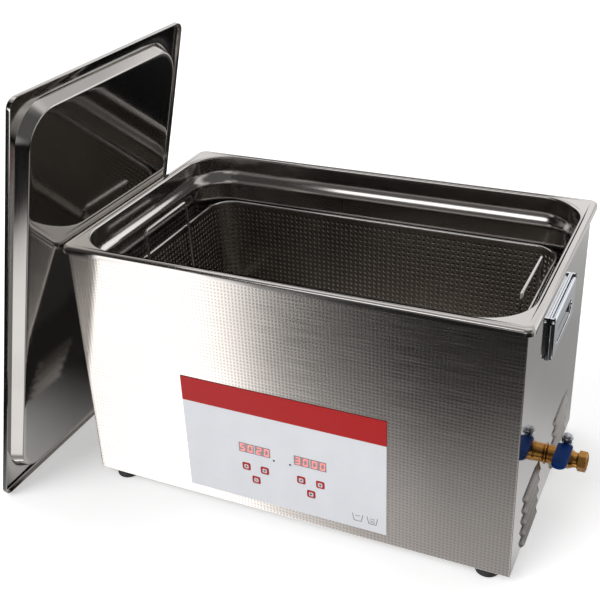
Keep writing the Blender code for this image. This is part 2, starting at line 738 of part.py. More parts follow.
def make_valve(parent, lever_frame):
    """A ball valve: body with a hexagon end, ball on a stem, lever and nut on the stem's top."""
    end = VALVE_REACH - 0.0012
    stem_at = STEM_X - VALVE_START_X
    bore = PORT_RADIUS
    room = BALL_RADIUS + GAP
    mouth = math.sqrt(room**2 - bore**2)
    outside = [
        (0.0104, 0),
        (0.0111, 0.002),
        (0.0111, stem_at - 0.0105),
        (0.0117, stem_at - 0.006),
        (0.0119, stem_at + 0.003),
        (0.0112, stem_at + 0.007),
        (0.0093, stem_at + 0.0105),
        (0.0090, end - 0.0112),
        (0.0096, end - 0.0108),
        (0.0096, end),
    ]
    cavity = [(bore, end), (bore, stem_at + mouth)]
    for step in range(1, 6):
        angle = math.asin(bore / room) + (math.pi - 2 * math.asin(bore / room)) * step / 6
        cavity.append((room * math.sin(angle), stem_at + room * math.cos(angle)))
    cavity += [(bore, stem_at - mouth), (bore, 0)]
    place = Matrix.Translation((VALVE_START_X, 0, VALVE_HEIGHT)) @ ALONG_X
    body = add("valve_body", turned("valve_body", outside + cavity, ring=True), brass(), parent)
    body.matrix_basis = place
    ends = (end - 0.0106, end - 0.0002)
    hexagon = lofted("hexagon", [round_loop(0.0104, z, 6, across_flats=True) for z in ends])
    join(body, hexagon)
    cut(body, turned("port", [(bore, end - 0.02), (bore, end + 0.02)], ROUND_STEPS))
    collar = turned("collar", [(0.0065, 0.0090), (0.0065, 0.0165)], 12)
    upright = ALONG_X.inverted() @ Matrix.Translation((stem_at, 0, 0))
    join(body, collar, upright)
    cut(body, turned("stem_hole", [(0.0030 + GAP, 0.004), (0.0030 + GAP, 0.03)], 12), upright)

    ball = [(BALL_RADIUS * math.sin(a), BALL_RADIUS * math.cos(a)) for a in arc(0.12, math.pi - 0.12, 9)]
    made = add("valve_ball", turned("valve_ball", ball), polished_steel(), lever_frame)
    made.location.z = VALVE_HEIGHT
    cut(made, turned("ball_port", [(0.0045, -0.02), (0.0045, 0.02)], 12), ALONG_Y)
    shaft = [(0.0030, VALVE_HEIGHT + BALL_RADIUS + GAP), (0.0030, LEVER_Z + 0.0070)]
    add("valve_stem", turned("valve_stem", shaft, 12), brass(), lever_frame)

    half = LEVER_WIDTH / 2
    outline = [(half, 0.006), (-half, 0.006)]
    for angle in arc(math.pi, 2 * math.pi, 9):
        outline.append((half * math.cos(angle), -LEVER_LENGTH + half + half * math.sin(angle)))
    lever = add(
        "valve_lever",
        prism("valve_lever", outline, LEVER_Z - 0.0022, LEVER_Z + 0.0022),
        material("blue_vinyl", (0.01, 0.05, 0.25), 0, 0.35),
        lever_frame,
    )
    cut(lever, turned("stem_hole", [(0.0030 + GAP, LEVER_Z - 0.01), (0.0030 + GAP, LEVER_Z + 0.01)], 12))
    nut = [
        (0.0032, LEVER_Z + 0.0022 + GAP),
        (0.0068, LEVER_Z + 0.0022 + GAP),
        (0.0068, LEVER_Z + 0.0062),
        (0.0061, LEVER_Z + 0.0090),
        (0.0042, LEVER_Z + 0.0111),
        (0.0014, LEVER_Z + 0.0118),
        (0.0014, LEVER_Z + 0.0096),
        (0.0032, LEVER_Z + 0.0080),
    ]
    add("valve_nut", turned("valve_nut", nut, 12, ring=True), chrome(), lever_frame)


# ---------------------------------------------------------------- inside


TRANSDUCER_COLUMNS = 5
TRANSDUCER_PITCH = 0.088
TRANSDUCER_Y = 0.070
UNDER_TANK = TANK_FLOOR - SHEET - GAP


def make_transducers(parent):
    """Bolt-clamped transducers: a flared front mass on the tank, ceramic rings and a back mass."""
    heights = (0, 0.006, 0.022, 0.022, 0.028, 0.028, 0.046)
    radii = (0.0240, 0.0240, 0.0175, 0.0185, 0.0185, 0.0170, 0.0170)
    profile = [(r, -z) for r, z in zip(radii, heights)]
    profile = [(r, z - 0.00001 * i) for i, (r, z) in enumerate(profile)]
    mesh = turned("transducer", profile, 14)
    mesh.materials.append(aluminium())
    for row, side in (("front", -1), ("rear", 1)):
        for column in range(TRANSDUCER_COLUMNS):
            made = add(f"transducer_{row}_{column + 1}", mesh, None, parent)
            x = (column - (TRANSDUCER_COLUMNS - 1) / 2) * TRANSDUCER_PITCH - 0.020
            made.location = (x, side * TRANSDUCER_Y, UNDER_TANK)


def make_heaters(parent):
    wall = MOUTH_DEPTH / 2 - STEP_WIDTH - 0.002 + SHEET + GAP
    orange = material("silicone_heater", (0.45, 0.12, 0.03), 0, 0.6)
    for name, side in (("front", -1), ("rear", 1)):
        near, far = sorted((side * wall, side * (wall + 0.002)))
        mesh = block("heater", (-0.17, near, 0.150), (0.17, far, 0.270))
        add(f"heater_{name}", mesh, orange, parent, smooth=False)
    sensor = block("sensor", (0.185, wall, 0.150), (0.197, wall + 0.0028, 0.158))
    add("temperature_sensor", sensor, aluminium(), parent, smooth=False)


def make_electronics(parent):
    floor = CASE_BOTTOM + SHEET + GAP
    board_top = floor + 0.006 + BOARD_THICKNESS
    board = block("board", (-0.095, -0.110, floor + 0.006), (0.105, 0.030, board_top))
    board = add("generator_board", board, circuit_board(), parent, smooth=False)
    for x in (-0.085, 0.095):
        for y in (-0.100, 0.020):
            post = turned("post", [(0.003, floor), (0.003, floor + 0.0065)], 8)
            join(board, post, Matrix.Translation((x, y, 0)))
    base = board_top + GAP
    fins = [(-0.045, base), (0.045, base)]
    for fin in range(7, -1, -1):
        left = -0.045 + fin * 0.012
        fins += [(left + 0.003, base + 0.030), (left, base + 0.030)]
        if fin:
            fins += [(left, base + 0.004), (left - 0.009, base + 0.004)]
    mirrored = [(z, y) for y, z in fins]
    sink = prism("heat_sink", [(y, z) for z, y in mirrored], -0.085, -0.055, along="X")
    made = add("heat_sink", sink, aluminium(), parent, smooth=False)
    made.location.y = -0.040
    core = [(0.010, 0), (0.026, 0), (0.028, 0.003), (0.028, 0.022), (0.026, 0.025), (0.010, 0.025)]
    copper = material("copper_winding", (0.55, 0.22, 0.08), 1, 0.4)
    coil = add("transformer", turned("transformer", core, ring=True), copper, parent)
    coil.location = (0.050, -0.050, base)


FAN_FRONT = CASE_Y - SHEET - GAP - FAN_THICKNESS


def make_fan(parent, rotor_frame):
    """A square frame with a round duct and a hub carrier, and the rotor that turns in it."""
    half = FAN_SIZE / 2
    frame = add(
        "fan_frame",
        block("fan_frame", (-half, 0, -half), (half, FAN_THICKNESS, half)),
        black_plastic(),
        parent,
        smooth=False,
    )
    frame.location = (FAN_CENTRE[0], FAN_FRONT, FAN_CENTRE[1])
    cut(frame, turned("duct", [(half - 0.003, -0.01), (half - 0.003, FAN_THICKNESS + 0.01)], 24), ALONG_Y)
    bar = block("carrier", (-half + 0.001, 0.0005, -0.004), (half - 0.001, 0.0030, 0.004))
    join(frame, bar)
    hub = add(
        "fan_rotor",
        turned("fan_rotor", [(0.014, 0.0045), (0.0155, 0.006), (0.0155, FAN_THICKNESS - 0.003)]),
        black_plastic(),
        rotor_frame,
    )
    hub.matrix_basis = ALONG_Y
    reach = half - 0.005
    for blade in range(7):
        sheet = block("blade", (0.013, -0.0009, -0.008), (reach, 0.0009, 0.008))
        turn = Matrix.Rotation(2 * math.pi * blade / 7, 4, "Z") @ Matrix.Translation((0, 0, 0.0135))
        join(hub, sheet, turn @ Matrix.Rotation(math.radians(40), 4, "X"))


INLET_BODY = (0.0275, 0.0200)
INLET_FLANGE = (0.040, 0.026)
SWITCH_BODY = (0.0130, 0.0190)
SWITCH_WALL = 0.0010
ROCKER_TILT = math.radians(9)
FUSE_RADIUS = 0.0065


def make_rear_fittings(parent, rocker_frame):
    """Mains inlet, rocker switch and fuse holder, each through its hole in the rear panel."""
    outer = CASE_Y + GAP
    x, z = INLET_CENTRE
    inlet = add(
        "power_inlet",
        block(
            "power_inlet",
            (-INLET_FLANGE[0] / 2, 0, -INLET_FLANGE[1] / 2),
            (INLET_FLANGE[0] / 2, 0.0035, INLET_FLANGE[1] / 2),
        ),
        black_plastic(),
        parent,
        smooth=False,
    )
    inlet.location = (x, outer, z)
    body = INLET_BODY
    join(inlet, block("body", (-body[0] / 2, -0.022, -body[1] / 2), (body[0] / 2, 0.001, body[1] / 2)))
    cut(inlet, block("socket", (-0.0120, -0.016, -0.0080), (0.0120, 0.01, 0.0080)))
    for pin_x, pin_z in ((-0.007, -0.002), (0.007, -0.002), (0, 0.002)):
        low = (pin_x - 0.001, -0.0175, pin_z - 0.002)
        join(inlet, block("blade", low, (pin_x + 0.001, 0.000, pin_z + 0.002)))

    x, z = SWITCH_CENTRE
    width, height = SWITCH_BODY[0] / 2, SWITCH_BODY[1] / 2
    housing = add(
        "switch_housing",
        block(
            "switch_housing",
            (-width - 0.0018, 0, -height - 0.0018),
            (width + 0.0018, 0.0020, height + 0.0018),
        ),
        black_plastic(),
        parent,
        smooth=False,
    )
    housing.location = (x, outer, z)
    join(housing, block("body", (-width, -0.016, -height), (width, 0.001, height)))
    low = (-width + SWITCH_WALL, -0.010, -height + SWITCH_WALL)
    cut(housing, block("well", low, (-low[0], 0.01, -low[2])))
    outline = [(0.0036, 0.0075), (0.0012, 0), (0.0036, -0.0075)]
    outline += [(-0.0030, -0.0068), (-0.0050, 0), (-0.0030, 0.0068)]
    reach = width - SWITCH_WALL - GAP
    rocker = prism("switch_rocker", outline, -reach, reach, along="X")
    add("switch_rocker", rocker, black_plastic(), rocker_frame, smooth=False)

    x, z = FUSE_CENTRE
    fuse = [(0.0060, -0.030), (FUSE_RADIUS - GAP, -0.028), (FUSE_RADIUS - GAP, 0), (0.0090, 0.0001)]
    fuse += [(0.0090, 0.0025), (0.0065, 0.0026), (0.0065, 0.0095), (0.0055, REAR_REACH - GAP)]
    holder = add("fuse_holder", turned("fuse_holder", fuse), black_plastic(), parent)
    holder.matrix_basis = Matrix.Translation((x, outer, z)) @ ALONG_Y


# ---------------------------------------------------------------- assembly


def main():
    clear_scene()
    cleaner = empty("cleaner", None, CASE_PLACE)
    make_front_panel(cleaner)
    make_rear_panel(cleaner)
    make_side_panel("left_panel", -1, cleaner)
    right = make_side_panel("right_panel", 1, cleaner)
    pipe = turned("pipe_hole", [(0.0095, -0.02), (0.0095, 0.02)], 12)
    cut(right, pipe, Matrix.Translation((CASE_X, 0, VALVE_HEIGHT)) @ ALONG_X)
    make_base_plate(cleaner)
    make_feet(cleaner)
    make_tank(cleaner)

    basket_lift = empty("basket_lift", cleaner)
    make_basket(basket_lift)

    lean = Matrix.Rotation(LID_LEAN - math.pi / 2, 4, "Y")
    lid_tip = empty("lid_tip", cleaner, (LID_FOOT_X, -LID_FORWARD, LID_FOOT_Z), lean)
    make_lid(lid_tip)

    make_controls(cleaner)
    make_drop_handle("left", -1, cleaner)
    make_drop_handle("right", 1, cleaner)

    make_drain_elbow(cleaner)
    lever_turn = empty("lever_turn", cleaner, (STEM_X, 0, 0))
    make_valve(cleaner, lever_turn)

    make_transducers(cleaner)
    make_heaters(cleaner)
    make_electronics(cleaner)
    rotor_turn = empty("rotor_turn", cleaner, (FAN_CENTRE[0], FAN_FRONT, FAN_CENTRE[1]))
    make_fan(cleaner, rotor_turn)
    tilt = Matrix.Rotation(-ROCKER_TILT, 4, "X")
    rocker_place = (SWITCH_CENTRE[0], CASE_Y + GAP, SWITCH_CENTRE[1])
    rocker_turn = empty("rocker_turn", cleaner, rocker_place, tilt)
    make_rear_fittings(cleaner, rocker_turn)


main()
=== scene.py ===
"""Looks of the bench-top ultrasonic cleaner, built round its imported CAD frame.

Most pieces are drawn in the case's own frame: the middle of the case on the floor, +X right,
+Y back, +Z up. The lid's are drawn in the lid's frame, flat, with its outside up.
"""

import json
import math

import bmesh
import bpy
import numpy as np
from mathutils import Matrix, Vector


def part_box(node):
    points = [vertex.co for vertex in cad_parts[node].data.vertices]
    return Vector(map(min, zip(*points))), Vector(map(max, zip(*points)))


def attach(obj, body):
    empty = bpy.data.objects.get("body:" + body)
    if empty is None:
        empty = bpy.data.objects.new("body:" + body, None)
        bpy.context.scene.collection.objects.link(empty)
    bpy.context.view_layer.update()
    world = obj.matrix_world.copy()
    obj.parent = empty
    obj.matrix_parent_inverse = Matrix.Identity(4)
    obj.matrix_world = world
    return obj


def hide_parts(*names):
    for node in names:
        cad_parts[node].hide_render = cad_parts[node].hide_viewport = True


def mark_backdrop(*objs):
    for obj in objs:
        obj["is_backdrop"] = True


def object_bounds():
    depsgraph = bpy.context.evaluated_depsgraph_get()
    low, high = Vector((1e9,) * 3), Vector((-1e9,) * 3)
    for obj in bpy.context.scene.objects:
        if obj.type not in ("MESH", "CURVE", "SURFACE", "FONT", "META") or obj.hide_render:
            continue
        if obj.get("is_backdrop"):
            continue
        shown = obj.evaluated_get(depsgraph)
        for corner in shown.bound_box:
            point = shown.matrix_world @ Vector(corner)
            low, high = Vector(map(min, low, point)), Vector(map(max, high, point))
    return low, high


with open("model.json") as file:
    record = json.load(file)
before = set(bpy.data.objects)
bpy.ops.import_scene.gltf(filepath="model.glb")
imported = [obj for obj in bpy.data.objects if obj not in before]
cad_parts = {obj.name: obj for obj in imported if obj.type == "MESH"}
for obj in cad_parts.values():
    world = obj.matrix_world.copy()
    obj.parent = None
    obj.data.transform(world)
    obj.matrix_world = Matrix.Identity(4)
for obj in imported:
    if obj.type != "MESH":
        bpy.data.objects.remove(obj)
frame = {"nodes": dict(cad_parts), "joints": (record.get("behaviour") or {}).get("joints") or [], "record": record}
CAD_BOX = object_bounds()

# ---------------- places, read from the frame

FRONT_LOW, FRONT_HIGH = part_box("front_panel")
CASE_LOW = Vector((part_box("left_panel")[0].x, FRONT_LOW.y, FRONT_LOW.z))
CASE_HIGH = Vector((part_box("right_panel")[1].x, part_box("rear_panel")[1].y, FRONT_HIGH.z))
MIDDLE = Vector(((CASE_LOW.x + CASE_HIGH.x) / 2, (CASE_LOW.y + CASE_HIGH.y) / 2, 0))
CASE = Matrix.Translation(MIDDLE)
CASE_X = (CASE_HIGH.x - CASE_LOW.x) / 2
CASE_Y = (CASE_HIGH.y - CASE_LOW.y) / 2
SHEET = 0.0012

ALONG_X = Matrix.Rotation(math.pi / 2, 4, "Y")
ALONG_Y = Matrix.Rotation(-math.pi / 2, 4, "X")


def half_size(node):
    """Half the width and depth of a node's box, and its lowest and highest points."""
    low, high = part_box(node)
    return (high.x - low.x) / 2, (high.y - low.y) / 2, low.z, high.z


def shift_by(x, y, z):
    return Matrix.Translation((x, y, z))


def nodes_like(start):
    return [node for node in frame["nodes"] if node.startswith(start)]


def joint_at(name):
    """Where a joint's axis passes, in the case's frame."""
    return local(next(j for j in frame["joints"] if j["name"] == name)["pos_m"])


def local(point):
    """A point of the row frame in the case's frame."""
    return Vector(point) - MIDDLE


def local_box(node):
    """A node's lowest and highest corners in the case's frame."""
    return [local(corner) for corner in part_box(node)]


# ---------------- mesh helpers


def smoothed(mesh, sharp=35):
    """A mesh shaded smooth, except over edges sharper than an angle in degrees."""
    mesh.shade_smooth()
    mesh.set_sharp_from_angle(angle=math.radians(sharp))
    return mesh


def cleaned(mesh, sharp, weld=0.0):
    """A smoothed mesh with its normals outward, and points closer than weld made one."""
    shape = bmesh.new()
    shape.from_mesh(mesh)
    if weld:
        bmesh.ops.remove_doubles(shape, verts=shape.verts, dist=weld)
    bmesh.ops.recalc_face_normals(shape, faces=shape.faces)
    shape.to_mesh(mesh)
    shape.free()
    return smoothed(mesh, sharp)


def mesh_of(points, faces, sharp=35):
    mesh = bpy.data.meshes.new("part")
    mesh.from_pydata([tuple(map(float, p)) for p in points], [], faces)
    return cleaned(mesh, sharp)


def merged(meshes, sharp=35):
    """Several meshes as one."""
    points, faces = [], []
    for mesh in meshes:
        start = len(points)
        points += [tuple(v.co) for v in mesh.vertices]
        faces += [tuple(start + i for i in face.vertices) for face in mesh.polygons]
        bpy.data.meshes.remove(mesh)
    return mesh_of(points, faces, sharp)


def band(line, other, closed=True):
    """Faces between two lines of point numbers that run side by side."""
    ends = [*range(1, len(line)), *([0] if closed else [])]
    return [(line[k - 1], line[k], other[k], other[k - 1]) for k in ends]


def moved(mesh, matrix):
    mesh.transform(matrix)
    return mesh


def loft(loops, ring=False, caps=True, sharp=35):
    """A skin through loops of equal length, capped, open or closed on itself."""
    count = len(loops[0])
    lines = [range(row * count, (row + 1) * count) for row in range(len(loops))]
    faces = []
    for low, high in zip(lines, lines[1:] + (lines[:1] if ring else [])):
        faces += band(low, high)
    if caps and not ring:
        faces += [tuple(lines[0][::-1]), tuple(lines[-1])]
    return mesh_of([p for loop in loops for p in loop], faces, sharp)


def rounded(half_x, half_y, radius, height, steps=14):
    """Points round a rectangle with round corners, anticlockwise from above."""
    points = []
    for quarter, (side_x, side_y) in enumerate(((1, 1), (-1, 1), (-1, -1), (1, -1))):
        for step in range(steps + 1):
            angle = math.pi / 2 * (quarter + step / steps)
            x = side_x * (half_x - radius) + radius * math.cos(angle)
            y = side_y * (half_y - radius) + radius * math.sin(angle)
            points.append((x, y, height))
    return points


def drawn_in(half_x, half_y, radius, profile):
    """Round rectangles at heights, each drawn in by a distance, from (distance, height) points."""
    return [rounded(half_x - d, half_y - d, radius - d, z) for d, z in profile]


def circle(radius, height, steps=48):
    angles = [2 * math.pi * i / steps for i in range(steps)]
    return [(radius * math.cos(a), radius * math.sin(a), height) for a in angles]


def hexagon(across, height, steps=48):
    """Points round a hexagon of a given size across its flats, as many as a circle has."""
    points = []
    for i in range(steps):
        angle = 2 * math.pi * i / steps
        nearest = (angle + math.pi / 6) % (math.pi / 3) - math.pi / 6
        reach = across / 2 / math.cos(nearest)
        points.append((reach * math.cos(angle), reach * math.sin(angle), height))
    return points


def turned(profile, steps=48, ring=False):
    """A solid of revolution about Z from (radius, height) points."""
    return loft([circle(r, z, steps) for r, z in profile], ring)


def filleted(corners, steps=6):
    """The line through (u, v, radius) corners, each rounded by its radius."""
    points = []
    for i, (u, v, radius) in enumerate(corners):
        here = Vector((u, v))
        if radius == 0:
            points.append(here)
            continue
        before = (Vector(corners[i - 1][:2]) - here).normalized()
        after = (Vector(corners[i + 1][:2]) - here).normalized()
        half = before.angle(after) / 2
        centre = here + (before + after).normalized() * radius / math.sin(half)
        start = here + before * radius / math.tan(half) - centre
        end = here + after * radius / math.tan(half) - centre
        sweep = math.pi - 2 * half
        for step in range(steps + 1):
            t = step / steps
            spoke = start * math.sin((1 - t) * sweep) + end * math.sin(t * sweep)
            points.append(centre + spoke / math.sin(sweep))
    return points


def block(low, high, bevel):
    """A box between two corners, its edges rounded."""
    centre = (Vector(low) + Vector(high)) / 2
    size = Vector(high) - Vector(low)
    shape = bmesh.new()
    bmesh.ops.create_cube(shape, size=1)
    for vertex in shape.verts:
        vertex.co = Vector(a * b for a, b in zip(vertex.co, size)) + centre
    bmesh.ops.bevel(shape, geom=shape.edges[:], offset=bevel, segments=3, profile=0.5, affect="EDGES")
    mesh = bpy.data.meshes.new("block")
    shape.to_mesh(mesh)
    shape.free()
    return smoothed(mesh)


def plate(outline, low, high, bevel=0.0):
    """An (x, y) outline pushed from one height to another, its upper edge rounded."""
    centre = sum((Vector(p) for p in outline), Vector((0, 0))) / len(outline)
    loops = [[(x, y, low) for x, y in outline]]
    for step in range(4 if bevel else 1):
        angle = math.radians(30 * step)
        inset = bevel * (1 - math.cos(angle))
        height = high - bevel * (1 - math.sin(angle))
        loop = []
        for point in outline:
            away = Vector(point) - centre
            loop.append((*(centre + away * (1 - inset / max(away.length, 1e-6))), height))
        loops.append(loop)
    return loft(loops)


def linked(name, data):
    """A new object in the scene."""
    made = bpy.data.objects.new(name, data)
    bpy.context.scene.collection.objects.link(made)
    return made


def piece(name, mesh, finish, body="unit", stands_for=(), slot=None, place=CASE):
    """A piece that rides on a body, from one mesh or several, in the case's frame if not placed."""
    if isinstance(mesh, list):
        mesh = merged(mesh)
    mesh.name = name
    made = linked(name, mesh)
    made.matrix_world = place
    mesh.materials.append(finish)
    bpy.context.view_layer.update()
    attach(made, body)
    if stands_for:
        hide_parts(*stands_for)


def tube(name, points, radius, finish, body="unit", cyclic=False, place=CASE, **rest):
    """A round wire along smooth points, as a mesh with round ends."""
    curve = bpy.data.curves.new(name, "CURVE")
    curve.dimensions = "3D"
    curve.bevel_depth = radius
    curve.bevel_resolution = 5
    curve.use_fill_caps = not cyclic
    spline = curve.splines.new("POLY")
    spline.points.add(len(points) - 1)
    for target, point in zip(spline.points, points):
        target.co = (*point, 1)
    spline.use_cyclic_u = cyclic
    helper = bpy.data.objects.new(name + "_line", curve)
    mesh = bpy.data.meshes.new_from_object(helper)
    bpy.data.objects.remove(helper)
    bpy.data.curves.remove(curve)
    piece(name, smoothed(mesh, 50), finish, body, place=place, **rest)


def bow(ends, heights, radius, steps=10):
    """A U in the YZ plane: two legs and a top bar with round bends between them."""
    (y0, y1), (low, high) = ends, heights
    corners = [(y0, low, 0), (y0, high, radius), (y1, high, radius), (y1, low, 0)]
    return [(0, p.x, p.y) for p in filleted(corners, steps)]


# ---------------- materials


def feed(owner, socket, value):
    """Sets a socket of a material or world to a value, or links another node's output to it."""
    if isinstance(value, bpy.types.NodeSocket):
        owner.node_tree.links.new(value, socket)
    else:
        socket.default_value = value


def add_node(owner, kind, output, *values, settings=(), **inputs):
    """A new node's output. Its inputs are given in order, or by name with _ for a space."""
    made = owner.node_tree.nodes.new("ShaderNode" + kind)
    for setting, value in dict(settings).items():
        setattr(made, setting, value)
    fed = list(zip(made.inputs, values))
    fed += [(made.inputs[name.replace("_", " ")], value) for name, value in inputs.items()]
    for socket, value in fed:
        feed(owner, socket, value)
    return made.outputs[output]


def maths(owner, operation, *values):
    return add_node(owner, "Math", "Value", *values, settings={"operation": operation})


def mapped(owner, value, start, end, low, high, smooth=False):
    """A value from start to end spread over low to high, and held there past them."""
    settings = {"interpolation_type": "SMOOTHSTEP" if smooth else "LINEAR"}
    return add_node(owner, "MapRange", "Result", value, start, end, low, high, settings=settings)


def mixed(made, factor, first, second):
    inputs = {"Factor": factor, "A": first, "B": second}
    return add_node(made, "Mix", "Result", settings={"data_type": "RGBA"}, **inputs)


def own_place(made):
    """The object's own coordinates."""
    return add_node(made, "TexCoord", "Object")


def inputs_of(made):
    return made.node_tree.nodes["Principled BSDF"].inputs


def principled(name, colour, metallic, roughness, **more):
    made = bpy.data.materials.new(name)
    made.use_nodes = True
    values = {"Base_Color": (*colour, 1), "Metallic": metallic, "Roughness": roughness, **more}
    for socket, value in values.items():
        feed(made, inputs_of(made)[socket.replace("_", " ")], value)
    return made


def noise(made, scale, detail, stretch=(1, 1, 1), offset=0.0):
    """Noise over the object's own coordinates, stretched along an axis; mostly from 0.3 to 0.7."""
    shift = (offset, offset, offset)
    place = add_node(made, "Mapping", "Vector", own_place(made), Scale=stretch, Location=shift)
    return add_node(made, "TexNoise", "Fac", Vector=place, Scale=scale, Detail=detail)


def uneven(name, dark, light, metallic, roughness, spread, grains, clouds, height, **more):
    """A surface whose gloss and relief follow fine grains, and whose colour follows wide clouds."""
    made = principled(name, light, metallic, roughness, **more)
    inputs = inputs_of(made)
    fine = noise(made, **grains)
    gloss = mapped(made, fine, 0.3, 0.7, roughness - spread, roughness + spread)
    feed(made, inputs["Roughness"], gloss)
    if height:
        relief = add_node(made, "Bump", "Normal", Strength=1.0, Distance=height, Height=fine)
        feed(made, inputs["Normal"], relief)
    share = mapped(made, noise(made, **clouds), 0.3, 0.7, 0, 1)
    feed(made, inputs["Base Color"], mixed(made, share, (*dark, 1), (*light, 1)))
    return made


def metal(name, dark, light, roughness, brush=(1, 1, 1), grain=0.0, spread=0.04):
    """Worked metal, brushed along the axis with the small stretch."""
    grains = dict(scale=900, detail=3.0, stretch=brush)
    clouds = dict(scale=9, detail=3.0, offset=3.0)
    return uneven(name, dark, light, 1.0, roughness, spread, grains, clouds, grain)


def plain(name, dark, light, roughness, pebble, pebble_scale=1500, **more):
    """Moulded plastic, rubber or film, with a fine pebble."""
    grains = dict(scale=pebble_scale, detail=2.0)
    clouds = dict(scale=40, detail=3.0, offset=7.0)
    return uneven(name, dark, light, 0.0, roughness, 0.05, grains, clouds, pebble, **more)


BRUSH_X = (0.02, 1, 1)
BRUSH_Z = (1, 1, 0.02)

DIMPLED = metal("dimpled_steel", (0.6, 0.555, 0.52), (0.66, 0.615, 0.58), 0.15, BRUSH_X, spread=0.03)
SATIN_SIDE = metal("satin_side_steel", (0.58, 0.56, 0.535), (0.64, 0.62, 0.595), 0.06, BRUSH_Z, spread=0.02)
# Painted shade: the louvre hoods are pressed from the side panel's steel but drawn about half as bright, for the
# shade on and under them.
LOUVRE_SHADED_STEEL = metal("louvre_steel_painted_shade", (0.29, 0.27, 0.255), (0.36, 0.34, 0.32), 0.28, BRUSH_Z)
SATIN_REAR = metal("satin_rear_steel", (0.57, 0.56, 0.55), (0.63, 0.62, 0.61), 0.2, BRUSH_X, 0.000001)
# Partly painted shade: the tank's polished steel is drawn darker than the case's, for the shade inside the tank.
TANK_SHADED_STEEL = metal("tank_steel_painted_shade", (0.5, 0.475, 0.455), (0.57, 0.545, 0.525), 0.145, BRUSH_X, spread=0.03)
# Painted shade: the lid's steel is drawn darker than the case's, for the dark, shaded reflections in its centre.
LID_SHADED_STEEL = metal("lid_steel_painted_shade", (0.46, 0.44, 0.42), (0.52, 0.5, 0.48), 0.085, BRUSH_X, spread=0.02)
# Painted shade: the basket's steel is drawn far darker than the case's, for the shade deep inside the tank.
BASKET_SHADED_STEEL = metal("basket_steel_painted_shade", (0.32, 0.295, 0.27), (0.4, 0.37, 0.34), 0.2)
# Painted highlight: the holes' walls are the basket's steel, drawn much paler to stand for light caught on the
# holes' edges.
HOLE_WALL_HIGHLIGHT = principled("hole_wall_painted_highlight", (0.8, 0.77, 0.73), 0.35, 0.42)
WIRE_STEEL = metal("wire_steel", (0.54, 0.525, 0.51), (0.62, 0.605, 0.59), 0.17)
CHROME = metal("chrome", (0.74, 0.77, 0.82), (0.82, 0.85, 0.9), 0.08, spread=0.02)
NUT_CHROME = metal("nut_chrome", (0.36, 0.37, 0.4), (0.44, 0.45, 0.48), 0.12, spread=0.02)
BRASS = metal("brass", (0.35, 0.16, 0.037), (0.51, 0.265, 0.073), 0.24, (0.4, 1, 1), 0.000001, 0.06)
ALUMINIUM = metal("aluminium", (0.66, 0.66, 0.67), (0.75, 0.75, 0.76), 0.38, grain=0.000006)
COPPER = metal("copper_winding", (0.45, 0.16, 0.05), (0.62, 0.27, 0.1), 0.35, (1, 1, 0.3), 0.00005)
RUBBER = plain("black_rubber", (0.012, 0.012, 0.013), (0.022, 0.022, 0.024), 0.55, 0.00002)
PLASTIC = plain("black_plastic", (0.01, 0.01, 0.011), (0.02, 0.02, 0.022), 0.34, 0.00001)
KEY_WHITE = plain("key_white", (0.57, 0.57, 0.6), (0.61, 0.61, 0.64), 0.38, 0.000002, Specular_IOR_Level=0.3)
RED_SHADES = (0.38, 0.006, 0.007), (0.43, 0.01, 0.011)
KEY_RED = plain("red_key", *RED_SHADES, 0.38, 0.000002, Specular_IOR_Level=0.25)
BLUE_SHADES = (0.0003, 0.022, 0.13), (0.001, 0.04, 0.2)
VINYL = plain("blue_vinyl", *BLUE_SHADES, 0.45, 0.000003, 500, Specular_IOR_Level=0.09)
INK = plain("dark_ink", (0.03, 0.03, 0.035), (0.05, 0.05, 0.06), 0.45, 0.000002)
WINDOW = plain("display_window", (0.27, 0.22, 0.235), (0.32, 0.27, 0.28), 0.22, 0.000002)
SILICONE = plain("silicone_heater", (0.36, 0.08, 0.02), (0.48, 0.13, 0.035), 0.6, 0.00003)
BOARD = plain("circuit_board", (0.008, 0.09, 0.04), (0.02, 0.17, 0.07), 0.4, 0.00001)

SHINE = dict(Emission_Color=(1.0, 0.25, 0.22, 1), Emission_Strength=0.55)
GLOW = principled("display_digit", (0.85, 0.22, 0.2), 0.0, 0.3, **SHINE)

RED_BAND_FROM = 0.1465
RED = (0.385, 0.006, 0.007, 1)


def label_material():
    """White film with a red band above a height, both with a fine satin texture."""
    white = (0.655, 0.665, 0.7), (0.685, 0.695, 0.73)
    made = plain("label_film", *white, 0.34, 0.000001, Specular_IOR_Level=0.25)
    base = inputs_of(made)["Base Color"]
    height = add_node(made, "SeparateXYZ", "Z", own_place(made))
    above = maths(made, "GREATER_THAN", height, RED_BAND_FROM)
    feed(made, base, mixed(made, above, base.links[0].from_socket, RED))
    return made


LABEL = label_material()


def finish_node(node, finish, bevel=0.0):
    """A CAD node that stays as it is, with a finish and slightly rounded edges."""
    made = frame["nodes"][node]
    if made.material_slots:
        for slot in made.material_slots:
            slot.material = finish
    else:
        made.data.materials.append(finish)
    if bevel:
        rounding = made.modifiers.new("rounding", "BEVEL")
        rounding.width = bevel
        rounding.segments = 2
        rounding.limit_method = "ANGLE"
        rounding.angle_limit = math.radians(35)


# ---------------- tank

MOUTH_X, MOUTH_Y, MOUTH_CORNER = 0.254, 0.152, 0.052
STEP_DEPTH = 0.023
DRAIN_X = 0.214


def pressed_sheet(loops, floor_row, sharp):
    """A closed sheet: rings down one face to its floor and back up the other, and two flat floors."""
    meshes = [loft(loops[floor_row + 1 :] + loops[: floor_row + 1], caps=False)]
    meshes.append(loft([loops[0], loops[-1]], caps=False))
    for row in (floor_row, floor_row + 1):
        meshes.append(mesh_of(loops[row], [tuple(range(len(loops[row])))]))
    return cleaned(merged(meshes, sharp), sharp, weld=1e-7)


